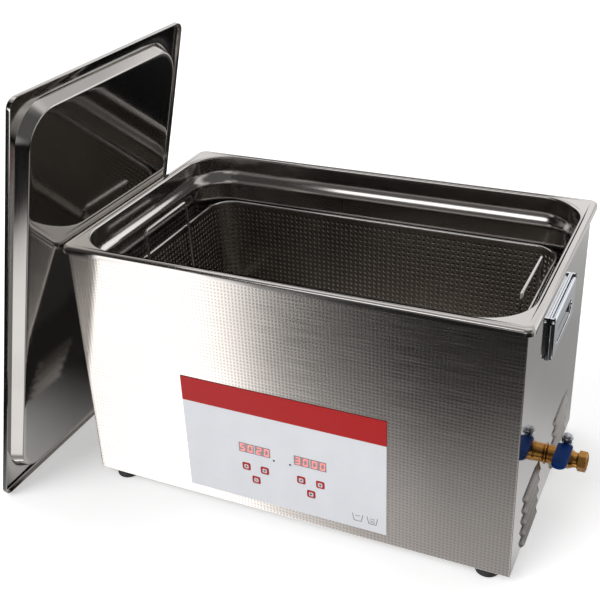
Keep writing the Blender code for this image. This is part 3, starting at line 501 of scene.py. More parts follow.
def add_tank():
    """One pressed sheet: the flange with its rolled lip, the mouth, the step, the wall and floor."""
    flange_x, flange_y, _, top = half_size("tank")
    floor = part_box("transducer_front_1")[1].z + 0.0003 + SHEET
    step = top - STEP_DEPTH
    lip, corner = 0.008, 0.01
    rim = filleted([(0, top - lip, 0), (0, top, 0.0042), (0.008, top, 0)])
    wall = [(-0.0045, top, 0), (0, top, 0.0028), (0.001, step + 0.0005, 0.022)]
    wall += [(0.007, step - 0.0105, 0.022), (0.0082, floor, 0.015), (0.03, floor, 0)]
    wall = filleted(wall, steps=8)
    loops = [rounded(flange_x - d, flange_y - d, corner - d * 0.5, z) for d, z in rim]
    loops += drawn_in(MOUTH_X, MOUTH_Y, MOUTH_CORNER, wall)
    floor_row = len(loops) - 1
    under = [(d - SHEET, z - (SHEET if z < floor + 0.01 else 0.0006)) for d, z in wall[:7:-1]]
    loops += drawn_in(MOUTH_X, MOUTH_Y, MOUTH_CORNER, under)
    for d, z in ((0.0042, SHEET), (0.002, 0.0022), (SHEET, 0.004), (SHEET, lip)):
        loops.append(rounded(flange_x - d, flange_y - d, corner - SHEET, top - z))
    tank = pressed_sheet(loops, floor_row, sharp=30)
    # The pressing takes the darker tank steel, partly painted shade.
    piece("tank_pressing", tank, TANK_SHADED_STEEL, stands_for=["tank"], slot="polished_steel")
    cup = [(0.009, 0.0002), (0.012, 0.0002), (0.0118, 0.0012), (0.009, 0.0016)]
    rings = [turned(cup, ring=True)]
    for radius in (0.003, 0.0055, 0.008):
        low, high = radius - 0.0005, radius + 0.0005
        rings.append(turned([(low, 0.0005), (high, 0.0005), (high, 0.0013), (low, 0.0013)], ring=True))
    place = CASE @ shift_by(DRAIN_X, 0, floor)
    piece("drain_strainer", rings, WIRE_STEEL, slot="polished_steel", place=place)


# ---------------- front panel

DIMPLE_PITCH = 0.00415
DIMPLE_RADIUS = 0.00145
DIMPLE_DEPTH = 0.00004
# Painted shade in the dimples: how far from a dimple's middle it fades, and how dark it gets there.
DOT_FADE = (0.17, 0.36)
DOT_SHADE = 0.78
EDGE_ROUND = 0.0009


def cell_grid(columns, rows, place, radius, centre=None, keep=None, closed=False):
    """A grid of cells with an octagon in each: points, faces and the first octagon's number.

    place(u, v, w) gives positions from grid coordinates and a depth. The octagon, its radius in
    cells, is a hole, or is filled to a point at the centre's depth. Cells not kept are plain.
    """
    across = columns if closed else columns + 1
    corner = lambda i, j: j * across + i % across
    featured, faces = [], []
    for j in range(rows):
        for i in range(columns):
            if keep is None or keep(i, j):
                featured.append((i, j))
            else:
                faces.append((corner(i, j), corner(i + 1, j), corner(i + 1, j + 1), corner(i, j + 1)))
    grid_v, grid_u = np.mgrid[0 : rows + 1, 0:across]
    first = grid_u.size
    middle = np.array(featured) + 0.5
    angles = np.radians(np.arange(8) * 45 + 22.5)
    u = (middle[:, :1] + radius * np.cos(angles)).ravel()
    v = (middle[:, 1:] + radius * np.sin(angles)).ravel()
    points = [place(grid_u.ravel(), grid_v.ravel(), np.zeros(first)), place(u, v, np.zeros(u.size))]
    if centre is not None:
        points.append(place(*middle.T, np.full(len(middle), centre)))
    for number, (i, j) in enumerate(featured):
        ring = [first + number * 8 + k for k in range(8)]
        square = (corner(i + 1, j + 1), corner(i, j + 1), corner(i, j), corner(i + 1, j))
        for side in range(4):
            a, b, c = ring[2 * side], ring[2 * side + 1], ring[(2 * side + 2) % 8]
            faces.append((a, square[side], b))
            faces.append((b, square[side], square[(side + 1) % 4], c))
        if centre is not None:
            faces += [(ring[k - 1], ring[k], first + u.size + number) for k in range(8)]
    return np.concatenate(points), faces, first


def paint_dimple_shade(made, pitch_x, pitch_z, start_z, middle):
    """Painted shade: darker steel colour in the bottom of every dimple of the grid."""
    squares = []
    shifts = {"X": (pitch_x, 100.5 if middle else 100.0), "Z": (pitch_z, 10 - start_z / pitch_z)}
    for axis, (pitch, shift) in shifts.items():
        along = add_node(made, "SeparateXYZ", axis, own_place(made))
        cell = maths(made, "FRACT", maths(made, "MULTIPLY_ADD", along, 1 / pitch, shift))
        apart = maths(made, "ABSOLUTE", maths(made, "SUBTRACT", cell, 0.5))
        squares.append(maths(made, "POWER", apart, 2.0))
    distance = maths(made, "SQRT", maths(made, "ADD", *squares))
    dot = mapped(made, distance, *DOT_FADE, DOT_SHADE, 1.0, smooth=True)
    base = inputs_of(made)["Base Color"]
    scale = {"operation": "SCALE"}
    steel = base.links[0].from_socket
    feed(made, base, add_node(made, "VectorMath", "Vector", steel, settings=scale, Scale=dot))


def add_front():
    """The front sheet: a grid of pressed dimples, plain behind the label, with rounded edges."""
    low_z, high_z = CASE_LOW.z, CASE_HIGH.z
    width, height = 2 * (CASE_X - EDGE_ROUND), high_z - low_z - 2 * EDGE_ROUND
    columns, rows = round(width / DIMPLE_PITCH), round(height / DIMPLE_PITCH)
    label_low, label_high = local_box("control_label")
    margin = 0.002

    def place(u, v, w):
        x = -width / 2 + u * width / columns
        z = low_z + EDGE_ROUND + v * height / rows
        return np.stack([x, -CASE_Y + w, z], -1)

    def dimpled(i, j):
        x, _, z = place(i + 0.5, j + 0.5, 0.0)
        behind_x = label_low.x + margin < x < label_high.x - margin
        return not (behind_x and label_low.z + margin < z < label_high.z - margin)

    radius = DIMPLE_RADIUS / DIMPLE_PITCH
    points, faces, _ = cell_grid(columns, rows, place, radius, DIMPLE_DEPTH, dimpled)
    across = columns + 1
    border = [*range(across), *[j * across + columns for j in range(1, rows + 1)]]
    border += [rows * across + i for i in range(columns - 1, -1, -1)]
    border += [j * across for j in range(rows - 1, 0, -1)]
    points = list(points)
    previous = border
    for out, back in ((0.29, 0.04), (0.71, 0.29), (0.96, 0.71), (1.0, 1.0), (1.0, SHEET / EDGE_ROUND)):
        ring = range(len(points), len(points) + len(border))
        out *= EDGE_ROUND
        for x, _, z in [points[index] for index in border]:
            side_x = (abs(x) > width / 2 - 1e-6) * math.copysign(1, x)
            side_z = (z > high_z - EDGE_ROUND - 1e-6) * 1 - (z < low_z + EDGE_ROUND + 1e-6) * 1
            points.append((x + side_x * out, -CASE_Y + back * EDGE_ROUND, z + side_z * out))
        faces += band(previous, ring)
        previous = ring
    faces.append(tuple(previous))
    # Painted shade: the front steel's colour is darkened in every dimple.
    paint_dimple_shade(DIMPLED, width / columns, height / rows, low_z + EDGE_ROUND, columns % 2)
    sheet = mesh_of(points, faces, sharp=40)
    piece("front_sheet", sheet, DIMPLED, stands_for=["front_panel"], slot="brushed_steel")


# ---------------- side and rear panels

LOUVRE_GROUPS = (-0.074, 0.075)
LOUVRE_LENGTH = 0.0715
LOUVRE_TOP = 0.084
LOUVRE_PITCH = 0.0155
LOUVRE_ROWS = 5
LOUVRE_OUT = 0.0034
LOUVRE_HEIGHT = 0.0105


def hood(side, centre, top):
    """A pressed louvre: a shell that swells out of the panel and is open along its lower edge."""
    along, down = 24, 8
    loops = []
    for i in range(along + 1):
        s = 2 * i / along - 1
        swell = math.sin(math.pi / 2 * min(1.0, 6 * (1 - abs(s))))
        loop = []
        for skin, order in ((0.0, 1), (0.0008, -1)):
            for t in [k / down for k in range(down + 1)][::order]:
                x = side * (CASE_X + LOUVRE_OUT * swell * t**1.15 - skin)
                z = top + 0.004 - (LOUVRE_HEIGHT - skin * 0.3) * t
                loop.append((x, centre + s * (LOUVRE_LENGTH / 2 - skin), z))
        loops.append(loop)
    return loft(loops)


def add_sides():
    for name, side in (("left", -1), ("right", 1)):
        finish_node(f"{name}_panel", SATIN_SIDE)
        tops = [LOUVRE_TOP - row * LOUVRE_PITCH for row in range(LOUVRE_ROWS)]
        hoods = merged([hood(side, centre, top) for centre in LOUVRE_GROUPS for top in tops], sharp=60)
        # The hoods take the darker steel, which is painted shade.
        piece(f"louvre_hoods_{name}", hoods, LOUVRE_SHADED_STEEL, slot="brushed_steel")


def screw_head():
    """A domed screw head with a hexagon socket, standing on Z = 0."""
    dome = [(0.0032, 0), (0.0032, 0.0004), (0.0029, 0.0011), (0.0022, 0.0017)]
    socket = [(0.0026, 0.0019), (0.0024, 0.0018), (0.0024, 0.0006)]
    loops = [circle(radius, z, 36) for radius, z in dome]
    return loft(loops + [hexagon(across, z, 36) for across, z in socket])


def add_screws(name, places):
    heads = [moved(screw_head(), shift_by(*place) @ ALONG_Y) for place in places]
    piece(name, heads, WIRE_STEEL, slot="brushed_steel")


def add_rear():
    finish_node("rear_panel", SATIN_REAR)
    finish_node("base_plate", SATIN_REAR)
    inset = 0.012
    left, right = -CASE_X + inset, CASE_X - inset
    low, high = CASE_LOW.z + inset, CASE_HIGH.z - inset
    places = [(x, CASE_Y, z) for x in (left, 0, right) for z in (low, high)]
    places += [(x, CASE_Y, (low + high) / 2) for x in (left, right)]
    add_screws("rear_screws", places)
    fan = joint_at("fan_spin")
    reach = 0.0495
    corner = reach * math.sin(math.radians(45))
    wire = dict(place=CASE @ shift_by(fan.x, CASE_Y + 0.003, fan.z) @ ALONG_Y, slot="brushed_steel")
    for radius in (0.012, 0.0205, 0.029, 0.0375):
        name = f"fan_guard_ring_{round(radius * 10000)}"
        tube(name, circle(radius, 0, 64), 0.0008, WIRE_STEEL, cyclic=True, **wire)
    for number, side in ((1, 1), (2, -1)):
        ends = [(-side * corner, -corner, -0.0014), (side * corner, corner, -0.0014)]
        tube(f"fan_guard_spoke_{number}", ends, 0.0008, WIRE_STEEL, **wire)
    corners = [(a * corner, b * corner) for a in (-1, 1) for b in (-1, 1)]
    add_screws("fan_screws", [(fan.x + x, CASE_Y + 0.0006, fan.z + z) for x, z in corners])


# ---------------- feet

FOOT_PROFILE = [(0, 0, 0), (0.0138, 0, 0.0026), (0.0145, 0.0117, 0)]


def add_feet():
    profile = [(max(r, 0.0001), z) for r, z in filleted(FOOT_PROFILE)]
    for node in nodes_like("foot_"):
        low, high = local_box(node)
        place = CASE @ shift_by((low.x + high.x) / 2, (low.y + high.y) / 2, 0)
        made = dict(stands_for=[node], slot="black_rubber", place=place)
        piece(node + "_rubber", turned(profile), RUBBER, **made)


# ---------------- basket

HOLE_PITCH = 0.0065
HOLE_RADIUS = 0.00185
BASKET_SKIN = 0.0009
BASKET_TAPER = 0.0038
BASKET_CORNER = 0.03
WIRE_RADIUS = 0.0018
HANDLE_RADIUS = 0.002


def along_loop(half_x, half_y, radius, distance):
    """Position and outward normal at distances round a rounded rectangle, and its length."""
    straight_x, straight_y = 2 * (half_x - radius), 2 * (half_y - radius)
    bend = math.pi / 2 * radius
    total = 2 * (straight_x + straight_y) + 4 * bend
    distance = np.mod(distance, total)
    spots, normals = np.zeros((2, 2, distance.size))
    start, heading, corner = 0.0, 0.0, np.array([-(half_x - radius), -half_y])
    for straight in (straight_x, straight_y) * 2:
        ahead = np.array([math.cos(heading), math.sin(heading)])
        outward = np.array([ahead[1], -ahead[0]])
        here = (distance >= start) & (distance < start + straight)
        spots[:, here] = corner[:, None] + ahead[:, None] * (distance[here] - start)
        normals[:, here] = outward[:, None]
        start += straight
        centre = corner + ahead * straight - outward * radius
        here = (distance >= start) & (distance < start + bend)
        angle = heading - math.pi / 2 + (distance[here] - start) / radius
        normals[:, here] = np.cos(angle), np.sin(angle)
        spots[:, here] = centre[:, None] + radius * normals[:, here]
        start += bend
        heading += math.pi / 2
        corner = centre + radius * ahead
    return *spots, *normals, total


def perforated(columns, rows, place, closed):
    """A thin sheet with a hole in each cell, with both faces and the holes' walls."""
    radius = HOLE_RADIUS / HOLE_PITCH
    behind = lambda u, v, w: place(u, v, w + BASKET_SKIN)
    front, faces, first = cell_grid(columns, rows, place, radius, closed=closed)
    back = cell_grid(columns, rows, behind, radius, closed=closed)[0]
    shift = len(front)
    faces = faces + [tuple(shift + i for i in face[::-1]) for face in faces]
    first_wall = len(faces)
    across = columns if closed else columns + 1
    holes = [range(first + 8 * k, first + 8 * k + 8) for k in range(columns * rows)]
    edges = [[j * across + i for i in range(across)] for j in (0, rows)]
    if not closed:
        edges += [[j * across + i for j in range(rows + 1)] for i in (0, columns)]
    for number, line in enumerate(holes + edges):
        faces += band(line, [shift + i for i in line], closed or number < len(holes))
    mesh = mesh_of(np.concatenate([front, back]), faces)
    # The holes' walls take the second finish, the painted highlight.
    for index in range(first_wall, first_wall + 8 * len(holes)):
        mesh.polygons[index].material_index = 1
    return mesh


def add_basket():
    """Perforated walls and floor with a plain bend between them, a wire rim and two wire handles."""
    half_x, half_y, rim_low, rim_high = half_size("basket_rim")
    rim_z = (rim_low + rim_high) / 2
    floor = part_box("basket_shell")[0].z + 0.0097
    half_x -= WIRE_RADIUS
    half_y -= WIRE_RADIUS
    top = rim_z - WIRE_RADIUS + 0.0003
    wall_top, wall_low = top - 0.004, floor + 0.0095
    rows = round((wall_top - wall_low) / HOLE_PITCH)
    total = along_loop(half_x, half_y, BASKET_CORNER, np.zeros(1))[4]
    columns = round(total / HOLE_PITCH)
    inset = lambda z: BASKET_TAPER * (top - z) / (top - floor)

    def wall(u, v, w):
        z = wall_low + v * (wall_top - wall_low) / rows
        x, y, nx, ny, _ = along_loop(half_x, half_y, BASKET_CORNER, u * total / columns)
        deep = inset(z) + w
        return np.stack([x - nx * deep, y - ny * deep, z], -1)

    # The basket's sheets take the darker steel, painted shade for the inside of the tank.
    lift = dict(body="basket", slot="polished_steel")
    walls = perforated(columns, rows, wall, closed=True)
    piece("basket_walls", walls, BASKET_SHADED_STEEL, stands_for=["basket_shell"], **lift)
    # Second finish for the holes' walls: the painted highlight.
    walls.materials.append(HOLE_WALL_HIGHLIGHT)

    bend = [(inset(wall_low + 0.001), wall_low + 0.001, 0), (BASKET_TAPER, floor, 0.0088)]
    bend = filleted(bend + [(0.018, floor, 0)], steps=8)
    meshes = []
    for profile in (bend, [(inset(wall_top), wall_top), (0, top)]):
        inner = [(d + BASKET_SKIN, z + BASKET_SKIN * (z < floor + 0.006)) for d, z in profile[::-1]]
        meshes.append(loft(drawn_in(half_x, half_y, BASKET_CORNER, list(profile) + inner), ring=True))
    floor_x, floor_y = half_x - 0.0165, half_y - 0.0165
    edge = [rounded(floor_x, floor_y, 0.012, floor)]
    edge.append(rounded(floor_x - 0.005, floor_y - 0.005, 0.0002, floor))
    edge += [[(x, y, z + BASKET_SKIN) for x, y, z in loop] for loop in edge[::-1]]
    meshes.append(loft(edge, ring=True))
    pad = [(0.005, floor - 0.0095), (0.0056, floor - 0.008), (0.0068, floor + 0.0002)]
    for x in (-0.15, 0.15):
        meshes += [moved(turned(pad, 24), shift_by(x, y, 0)) for y in (-0.09, 0.09)]
    piece("basket_bends", meshes, BASKET_SHADED_STEEL, **lift)

    floor_x, floor_y = floor_x - 0.0049, floor_y - 0.0049
    columns, rows = round(2 * floor_x / HOLE_PITCH), round(2 * floor_y / HOLE_PITCH)

    def flat(u, v, w):
        x = -floor_x + u * 2 * floor_x / columns
        y = -floor_y + v * 2 * floor_y / rows
        return np.stack([x, y, floor + w], -1)

    bottom = perforated(columns, rows, flat, closed=False)
    piece("basket_floor", bottom, BASKET_SHADED_STEEL, **lift)
    # Second finish for the holes' walls: the painted highlight.
    bottom.materials.append(HOLE_WALL_HIGHLIGHT)
    rim = rounded(half_x, half_y, BASKET_CORNER, rim_z, steps=16)
    tube("basket_rim_wire", rim, WIRE_RADIUS, WIRE_STEEL, cyclic=True, stands_for=["basket_rim"], **lift)

    slope = math.atan(BASKET_TAPER / (top - floor))
    reach = half_x - WIRE_RADIUS - 0.0003 - HANDLE_RADIUS
    for name, side in (("left", -1), ("right", 1)):
        node = f"basket_handle_{name}"
        _, half, low, high = half_size(node)
        heights = (low + 0.0003 - rim_z, high - HANDLE_RADIUS - rim_z)
        line = bow((-half + HANDLE_RADIUS, half - HANDLE_RADIUS), heights, 0.006)
        place = CASE @ shift_by(side * reach, 0, rim_z) @ Matrix.Rotation(side * slope, 4, "Y")
        tube(f"{node}_wire", line, HANDLE_RADIUS, WIRE_STEEL, place=place, stands_for=[node], **lift)


# ---------------- lid

LID_LEAN = math.radians(12.9)
LID_LENGTH, LID_DEPTH = 0.5265, 0.322
LID_HEM, LID_SINK, LID_BORDER, LID_SLOPE = 0.0064, 0.0135, 0.0142, 0.008


def add_lid():
    """A pressed lid: rolled hem, flat border, sloping ledge and sunk centre; and its bow handle."""
    place = CASE @ Matrix.Translation(joint_at("lid_tip"))
    place = place @ Matrix.Rotation(LID_LEAN - math.pi / 2, 4, "Y") @ shift_by(LID_LENGTH / 2, 0, 0)
    outer = LID_LENGTH / 2, LID_DEPTH / 2, 0.012
    ledge = LID_LENGTH / 2 - LID_BORDER, LID_DEPTH / 2 - LID_BORDER, 0.046
    skin = 0.001
    rim = filleted([(0, -LID_HEM, 0), (0, 0, 0.0022), (0.006, 0, 0)])
    well = [(-0.005, 0, 0), (0, 0, 0.002), (LID_SLOPE, -LID_SINK, 0.0022)]
    well = filleted(well + [(LID_SLOPE + 0.006, -LID_SINK, 0)], steps=8)
    over = drawn_in(*outer, rim)
    over += drawn_in(*ledge, [(d, min(z + skin * 0.9, 0.0)) for d, z in well[1:]])
    below = drawn_in(*ledge, [(d, min(z - skin * 0.1, -skin)) for d, z in well[::-1]])
    for d, z in ((0.003, -skin), (0.0016, -0.0014), (skin, -0.0026), (skin, -LID_HEM)):
        below.append(rounded(outer[0] - d, outer[1] - d, outer[2] - skin, z))
    mesh = pressed_sheet(over + below, len(over) - 1, sharp=28)
    # The lid takes the darker steel, which is painted shade.
    piece("lid_pressing", mesh, LID_SHADED_STEEL, "lid", ["lid"], "polished_steel", place)
    grip = bow((-0.055, 0.055), (-LID_SINK + skin, 0.024), 0.014)
    bar = dict(body="lid", place=place, slot="black_plastic")
    tube("lid_handle_bar", grip, 0.0049, PLASTIC, stands_for=["lid_handle"], **bar)
    foot = [(0.0085, 0), (0.0085, 0.001), (0.0078, 0.002), (0.0052, 0.0032), (0.0045, 0.0032)]
    feet = [moved(turned(foot), shift_by(0, y, -LID_SINK + skin)) for y in (-0.055, 0.055)]
    piece("lid_handle_feet", feet, PLASTIC, **bar)


# ---------------- control panel

SEGMENTS = {"0": "abcdef", "2": "abged", "3": "abgcd", "5": "afgcd"}
DIGIT_HEIGHT, DIGIT_WIDTH, DIGIT_STROKE = 0.0098, 0.0062, 0.00155
DIGIT_SLANT = 0.08
READINGS = {"left": "5020", "right": "3000"}
LAMP_ACROSS = {"left": 0.0436, "right": -0.0052}
INK_PROUD = 0.00006


def flat_shape(outline, front):
    """An (x, z) outline as a thin plate that stands proud of a Y, towards the front."""
    turn = Matrix.Rotation(math.pi / 2, 4, "X")
    return moved(plate(outline, 0.0, INK_PROUD), shift_by(0, front, 0) @ turn)


def box_outline(x, z, half_x, half_z, radius=0.0):
    if radius:
        return [(x + a, z + b) for a, b, _ in rounded(half_x, half_z, radius, 0, steps=5)]
    return [(x + a * half_x, z + b * half_z) for a, b in ((-1, -1), (1, -1), (1, 1), (-1, 1))]


def stroke(points, width):
    """Thin rectangles along a line of (x, z) points."""
    outlines = []
    for start, end in zip(points, points[1:]):
        a, b = Vector(start), Vector(end)
        side = (b - a).orthogonal().normalized() * width / 2
        outlines.append([tuple(a + side), tuple(a - side), tuple(b - side), tuple(b + side)])
    return outlines


def segment_outlines(digit, centre_x, centre_z):
    w, h, s = DIGIT_WIDTH / 2, DIGIT_HEIGHT / 2, DIGIT_STROKE / 2
    bars = {name: (0, z, w - s, s) for name, z in (("a", h - s), ("g", 0), ("d", s - h))}
    for name, side, rise in (("b", 1, 1), ("f", -1, 1), ("c", 1, -1), ("e", -1, -1)):
        bars[name] = (side * (w - s), rise * h / 2, s, h / 2 - s * 0.6)
    outlines = []
    for x, z, a, b in [bars[name] for name in SEGMENTS[digit]]:
        outline = box_outline(x, z, a, b, min(a, b) * 0.5)
        outlines.append([(centre_x + u + DIGIT_SLANT * v, centre_z + v) for u, v in outline])
    return outlines


def marks(name, outlines, front, finish, slot, body="unit"):
    piece(name, [flat_shape(outline, front) for outline in outlines], finish, body, slot=slot)


def add_controls():
    finish_node("control_label", LABEL)
    label_low, label_high = local_box("control_label")
    front = label_low.y
    lamps = []
    for side, reading in READINGS.items():
        node = f"display_window_{side}"
        finish_node(node, WINDOW)
        low, high = local_box(node)
        middle_x, middle_z = (low.x + high.x) / 2, (low.z + high.z) / 2
        step = (high.x - low.x) / 4
        outlines = []
        for number, digit in enumerate(reading):
            gap = 0.0006 * (-1 if number < 2 else 1)
            outlines += segment_outlines(digit, low.x + step * (number + 0.5) + gap, middle_z)
        marks(f"digits_{side}", outlines, low.y, GLOW, "display_window")
        divider = box_outline(middle_x, middle_z, 0.00035, (high.z - low.z) / 2)
        marks(f"display_divider_{side}", [divider], low.y, LABEL, "label_film")
        x, z = low.x + LAMP_ACROSS[side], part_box("display_window_left")[0].z - 0.0022
        lamps.append([(x + a, z + b) for a, b, _ in circle(0.0014, 0, 20)])
    for key in nodes_like("key_"):
        add_key(key)
    marks("lamp_dots", lamps, front, INK, "label_film")
    add_symbols(label_low, label_high, front)


def add_key(node):
    """A red key cap with a white field and a dark symbol, all on the key's own body."""
    low, high = local_box(node)
    x, z, half = (low.x + high.x) / 2, (low.z + high.z) / 2, (high.x - low.x) / 2
    finish_node(node, KEY_RED)
    field = box_outline(x, z, half * 0.54, half * 0.54, half * 0.25)
    marks(f"{node}_field", [field], low.y, KEY_WHITE, "red_key", node)
    size = half * 0.72
    if node == "key_heat":
        symbol = []
        for shift in (-1, 0, 1):
            across = x + shift * size * 0.32
            line = [(across + 0.0002 * math.sin(k), z + size * (k / 8 - 0.5)) for k in range(9)]
            symbol += stroke(line, 0.00035)
    elif node == "key_start":
        symbol = [[(x - size * 0.35, z - size / 2), (x + size * 0.55, z), (x - size * 0.35, z + size / 2)]]
    else:
        tip = size * (0.55 if node.endswith("_up") else -0.55)
        symbol = [[(x - size / 2, z - tip / 2), (x + size / 2, z - tip / 2), (x, z + tip)]]
    marks(f"{node}_symbol", symbol, low.y - INK_PROUD, INK, "red_key", node)


def add_symbols(low, high, front):
    """Two plain pictures of a tank, with a water line in one and a level mark in the other."""
    outlines = []
    w, h, z = 0.0062, 0.0048, low.z + 0.015
    for x, marked in ((high.x - 0.034, False), (high.x - 0.0165, True)):
        tank = [(x - w, z + h), (x - w * 0.7, z - h), (x + w * 0.7, z - h), (x + w, z + h)]
        outlines += stroke(tank, 0.0007)
        for half, level in ((0.45, 0.5), (0.5, -0.55), (0.5, -0.1))[: 3 if marked else 1]:
            outlines += stroke([(x - w * half, z + h * level), (x + w * half, z + h * level)], 0.0006)
    marks("tank_symbols", outlines, front, INK, "label_film")


# ---------------- drop handles

ROLL = 0.002
SLOT_HALF_Y, SLOT_HALF_Z, SLOT_DROP = 0.04, 0.01, 0.026


def add_handles():
    """Chrome plate with ears and pins; a bail with a rolled top, a slotted face and dark end caps."""
    for name, side in (("left", -1), ("right", 1)):
        finish_node(f"handle_plate_{name}", CHROME, bevel=0.0004)
        ride_on = dict(body=f"bail_{name}", slot="chrome")
        pivot = joint_at(f"bail_{name}_swing")
        at_pivot = Matrix.Translation(pivot)
        low, high = local_box(f"handle_bail_{name}")
        half, drop = (high.y - low.y) / 2, pivot.z - low.z
        ends = (0.0014, half - 0.003), (ROLL, half - 0.0036)
        roll = turned([(r, -y) for r, y in ends] + list(ends[::-1]), 32)
        edge = 0.0004
        inner, outer = pivot.x + side * 0.0008, pivot.x + side * ROLL
        bevel = outer - side * edge
        centre, slot = pivot.z - drop / 2, pivot.z - SLOT_DROP
        rings = [
            (half, drop / 2, 0.004, centre, inner),
            (half, drop / 2, 0.004, centre, bevel),
            (half - edge, drop / 2 - edge, 0.0036, centre, outer),
            (SLOT_HALF_Y + edge, SLOT_HALF_Z + edge, SLOT_HALF_Z, slot, outer),
            (SLOT_HALF_Y, SLOT_HALF_Z, SLOT_HALF_Z - edge, slot, bevel),
            (SLOT_HALF_Y, SLOT_HALF_Z, SLOT_HALF_Z - edge, slot, inner),
        ]
        loops = []
        for half_y, half_z, radius, middle, x in rings:
            loops.append([(x, y, middle + z) for y, z, _ in rounded(half_y, half_z, radius, 0)])
        bail = [moved(roll, at_pivot @ ALONG_Y), loft(loops, ring=True)]
        stands_for = [f"handle_bail_{name}"]
        piece(f"bail_sheet_{name}", bail, CHROME, stands_for=stands_for, **ride_on)
        caps, pins = [], []
        cap = [(ROLL + 0.00015, half - 0.0036), (ROLL + 0.00015, half - 0.0006), (0.0012, half)]
        for end, turn in ((-1, ALONG_Y.inverted()), (1, ALONG_Y)):
            caps.append(moved(turned(cap, 32), at_pivot @ turn))
            y0, y1 = sorted((end * (half - 0.0016), end * half))
            x0, x1 = sorted((pivot.x - side * ROLL, inner))
            caps.append(block((x0, y0, low.z + 0.0004), (x1, y1, pivot.z), bevel=0.0002))
            pin = turned([(0.0017, 0.0553), (0.0017, 0.0558), (0.0009, 0.0562)], 24)
            pins.append(moved(pin, at_pivot @ turn))
        piece(f"bail_caps_{name}", caps, PLASTIC, **ride_on)
        piece(f"handle_pins_{name}", pins, CHROME, slot="chrome")


# ---------------- drain valve

VALVE_START = CASE_X + 0.0012
VALVE_LENGTH = 0.0463
PORT = 0.005


def add_valve():
    """Brass ball valve with a threaded collar and a hexagon end, and a ring at the wall."""
    outlet = next(m for m in frame["record"]["mounts"] if m["name"] == "outlet_face")
    axis_z = outlet["pos_m"][2]
    stem = joint_at("drain_turn").x - VALVE_START
    end = VALVE_LENGTH
    outside = [
        (PORT, 0, 0),
        (0.0104, 0, 0.0004),
        (0.0111, 0.0018, 0.0006),
        (0.0111, stem - 0.0102, 0.0004),
        (0.0117, stem - 0.008, 0.0008),
        (0.0117, stem + 0.005, 0.003),
        (0.0095, stem + 0.0095, 0.002),
        (0.0086, end - 0.0124, 0.001),
        (0.009, end - 0.0108, 0.0003),
        (PORT, end - 0.0108, 0),
    ]
    meshes = [turned(filleted(outside, 5))]
    shapes = [(circle, PORT, 0.011), (circle, 0.0094, 0.011), (hexagon, 0.0208, 0.01)]
    shapes += [(hexagon, 0.0208, 0.0014), (circle, 0.0097, 0.0004), (circle, 0.009, 0.0002)]
    shapes += [(circle, PORT + 0.0024, 0.0002), (circle, PORT + 0.0014, 0.0014), (circle, PORT, 0.003)]
    meshes.append(loft([shape(size, end - back) for shape, size, back in shapes], caps=False))
    bore = [(PORT, end - 0.003), (PORT, end - 0.012), (0.0002, end - 0.0121)]
    meshes.append(loft([circle(r, z) for r, z in bore], caps=False))
    collar = [(0.0064, 0.008, 0), (0.0064, 0.0158, 0.0008), (0.0034, 0.0162, 0), (0.0034, 0.008, 0)]
    upright = ALONG_X.inverted() @ shift_by(stem, 0, 0)
    meshes.append(moved(turned(filleted(collar, 4)), upright))
    barrel = dict(stands_for=["valve_body"], place=CASE @ shift_by(VALVE_START, 0, axis_z) @ ALONG_X)
    piece("valve_barrel", meshes, BRASS, slot="brass", **barrel)
    finish_node("valve_ball", WIRE_STEEL)
    finish_node("valve_stem", BRASS)
    finish_node("drain_elbow", BRASS)
    add_lever()
    profile = [(0.0106, 0), (0.0128, 0), (0.0126, 0.0008), (0.0116, 0.0011), (0.0106, 0.0011)]
    at_wall = CASE @ shift_by(CASE_X, 0, axis_z) @ ALONG_X
    piece("valve_wall_ring", turned(profile, ring=True), BRASS, slot="brass", place=at_wall)


def add_lever():
    """A vinyl lever on a chrome arm, and the domed nut over the stem."""
    stem = joint_at("drain_turn")
    low, high = local_box("valve_lever")
    half, length = (high.x - low.x) / 2, stem.y - low.y
    sleeve = []
    for step in range(17):
        angle = math.pi + math.pi * step / 16
        sleeve.append((half * math.cos(angle), -length + half + half * math.sin(angle)))
    sleeve += [(half, -0.008), (half * 0.86, -0.0064), (-half * 0.86, -0.0064), (-half, -0.008)]
    vinyl = [plate(sleeve, 0.0, 0.0022, bevel=0.0012) for _ in range(2)]
    moved(vinyl[1], Matrix.Rotation(math.pi, 4, "Y"))
    place = CASE @ shift_by(stem.x, stem.y, (low.z + high.z) / 2)
    turn = dict(body="valve_turn", place=place)
    piece("lever_sleeve", vinyl, VINYL, stands_for=["valve_lever"], slot="blue_vinyl", **turn)
    arm = [(half * 0.8, -0.01), (half * 0.8, 0.003), (half * 0.5, 0.0058)]
    arm += [(-x, y) for x, y in reversed(arm)]
    piece("lever_arm", plate(arm, -0.001, 0.001, bevel=0.0002), CHROME, slot="chrome", **turn)
    base, top = (corner.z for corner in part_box("valve_nut"))
    loops = [hexagon(0.0116, base), hexagon(0.0116, base + 0.0024), circle(0.0064, base + 0.0026)]
    dome = base + 0.0034
    for step in range(9):
        angle = math.pi / 2 * step / 8
        radius = max(0.0067 * math.cos(angle), 0.0001)
        loops.append(circle(radius, dome + (top - dome) * math.sin(angle)))
    turn["place"] = CASE @ shift_by(stem.x, stem.y, 0)
    piece("valve_cap_nut", loft(loops), NUT_CHROME, stands_for=["valve_nut"], slot="chrome", **turn)


# ---------------- inside and rear fittings


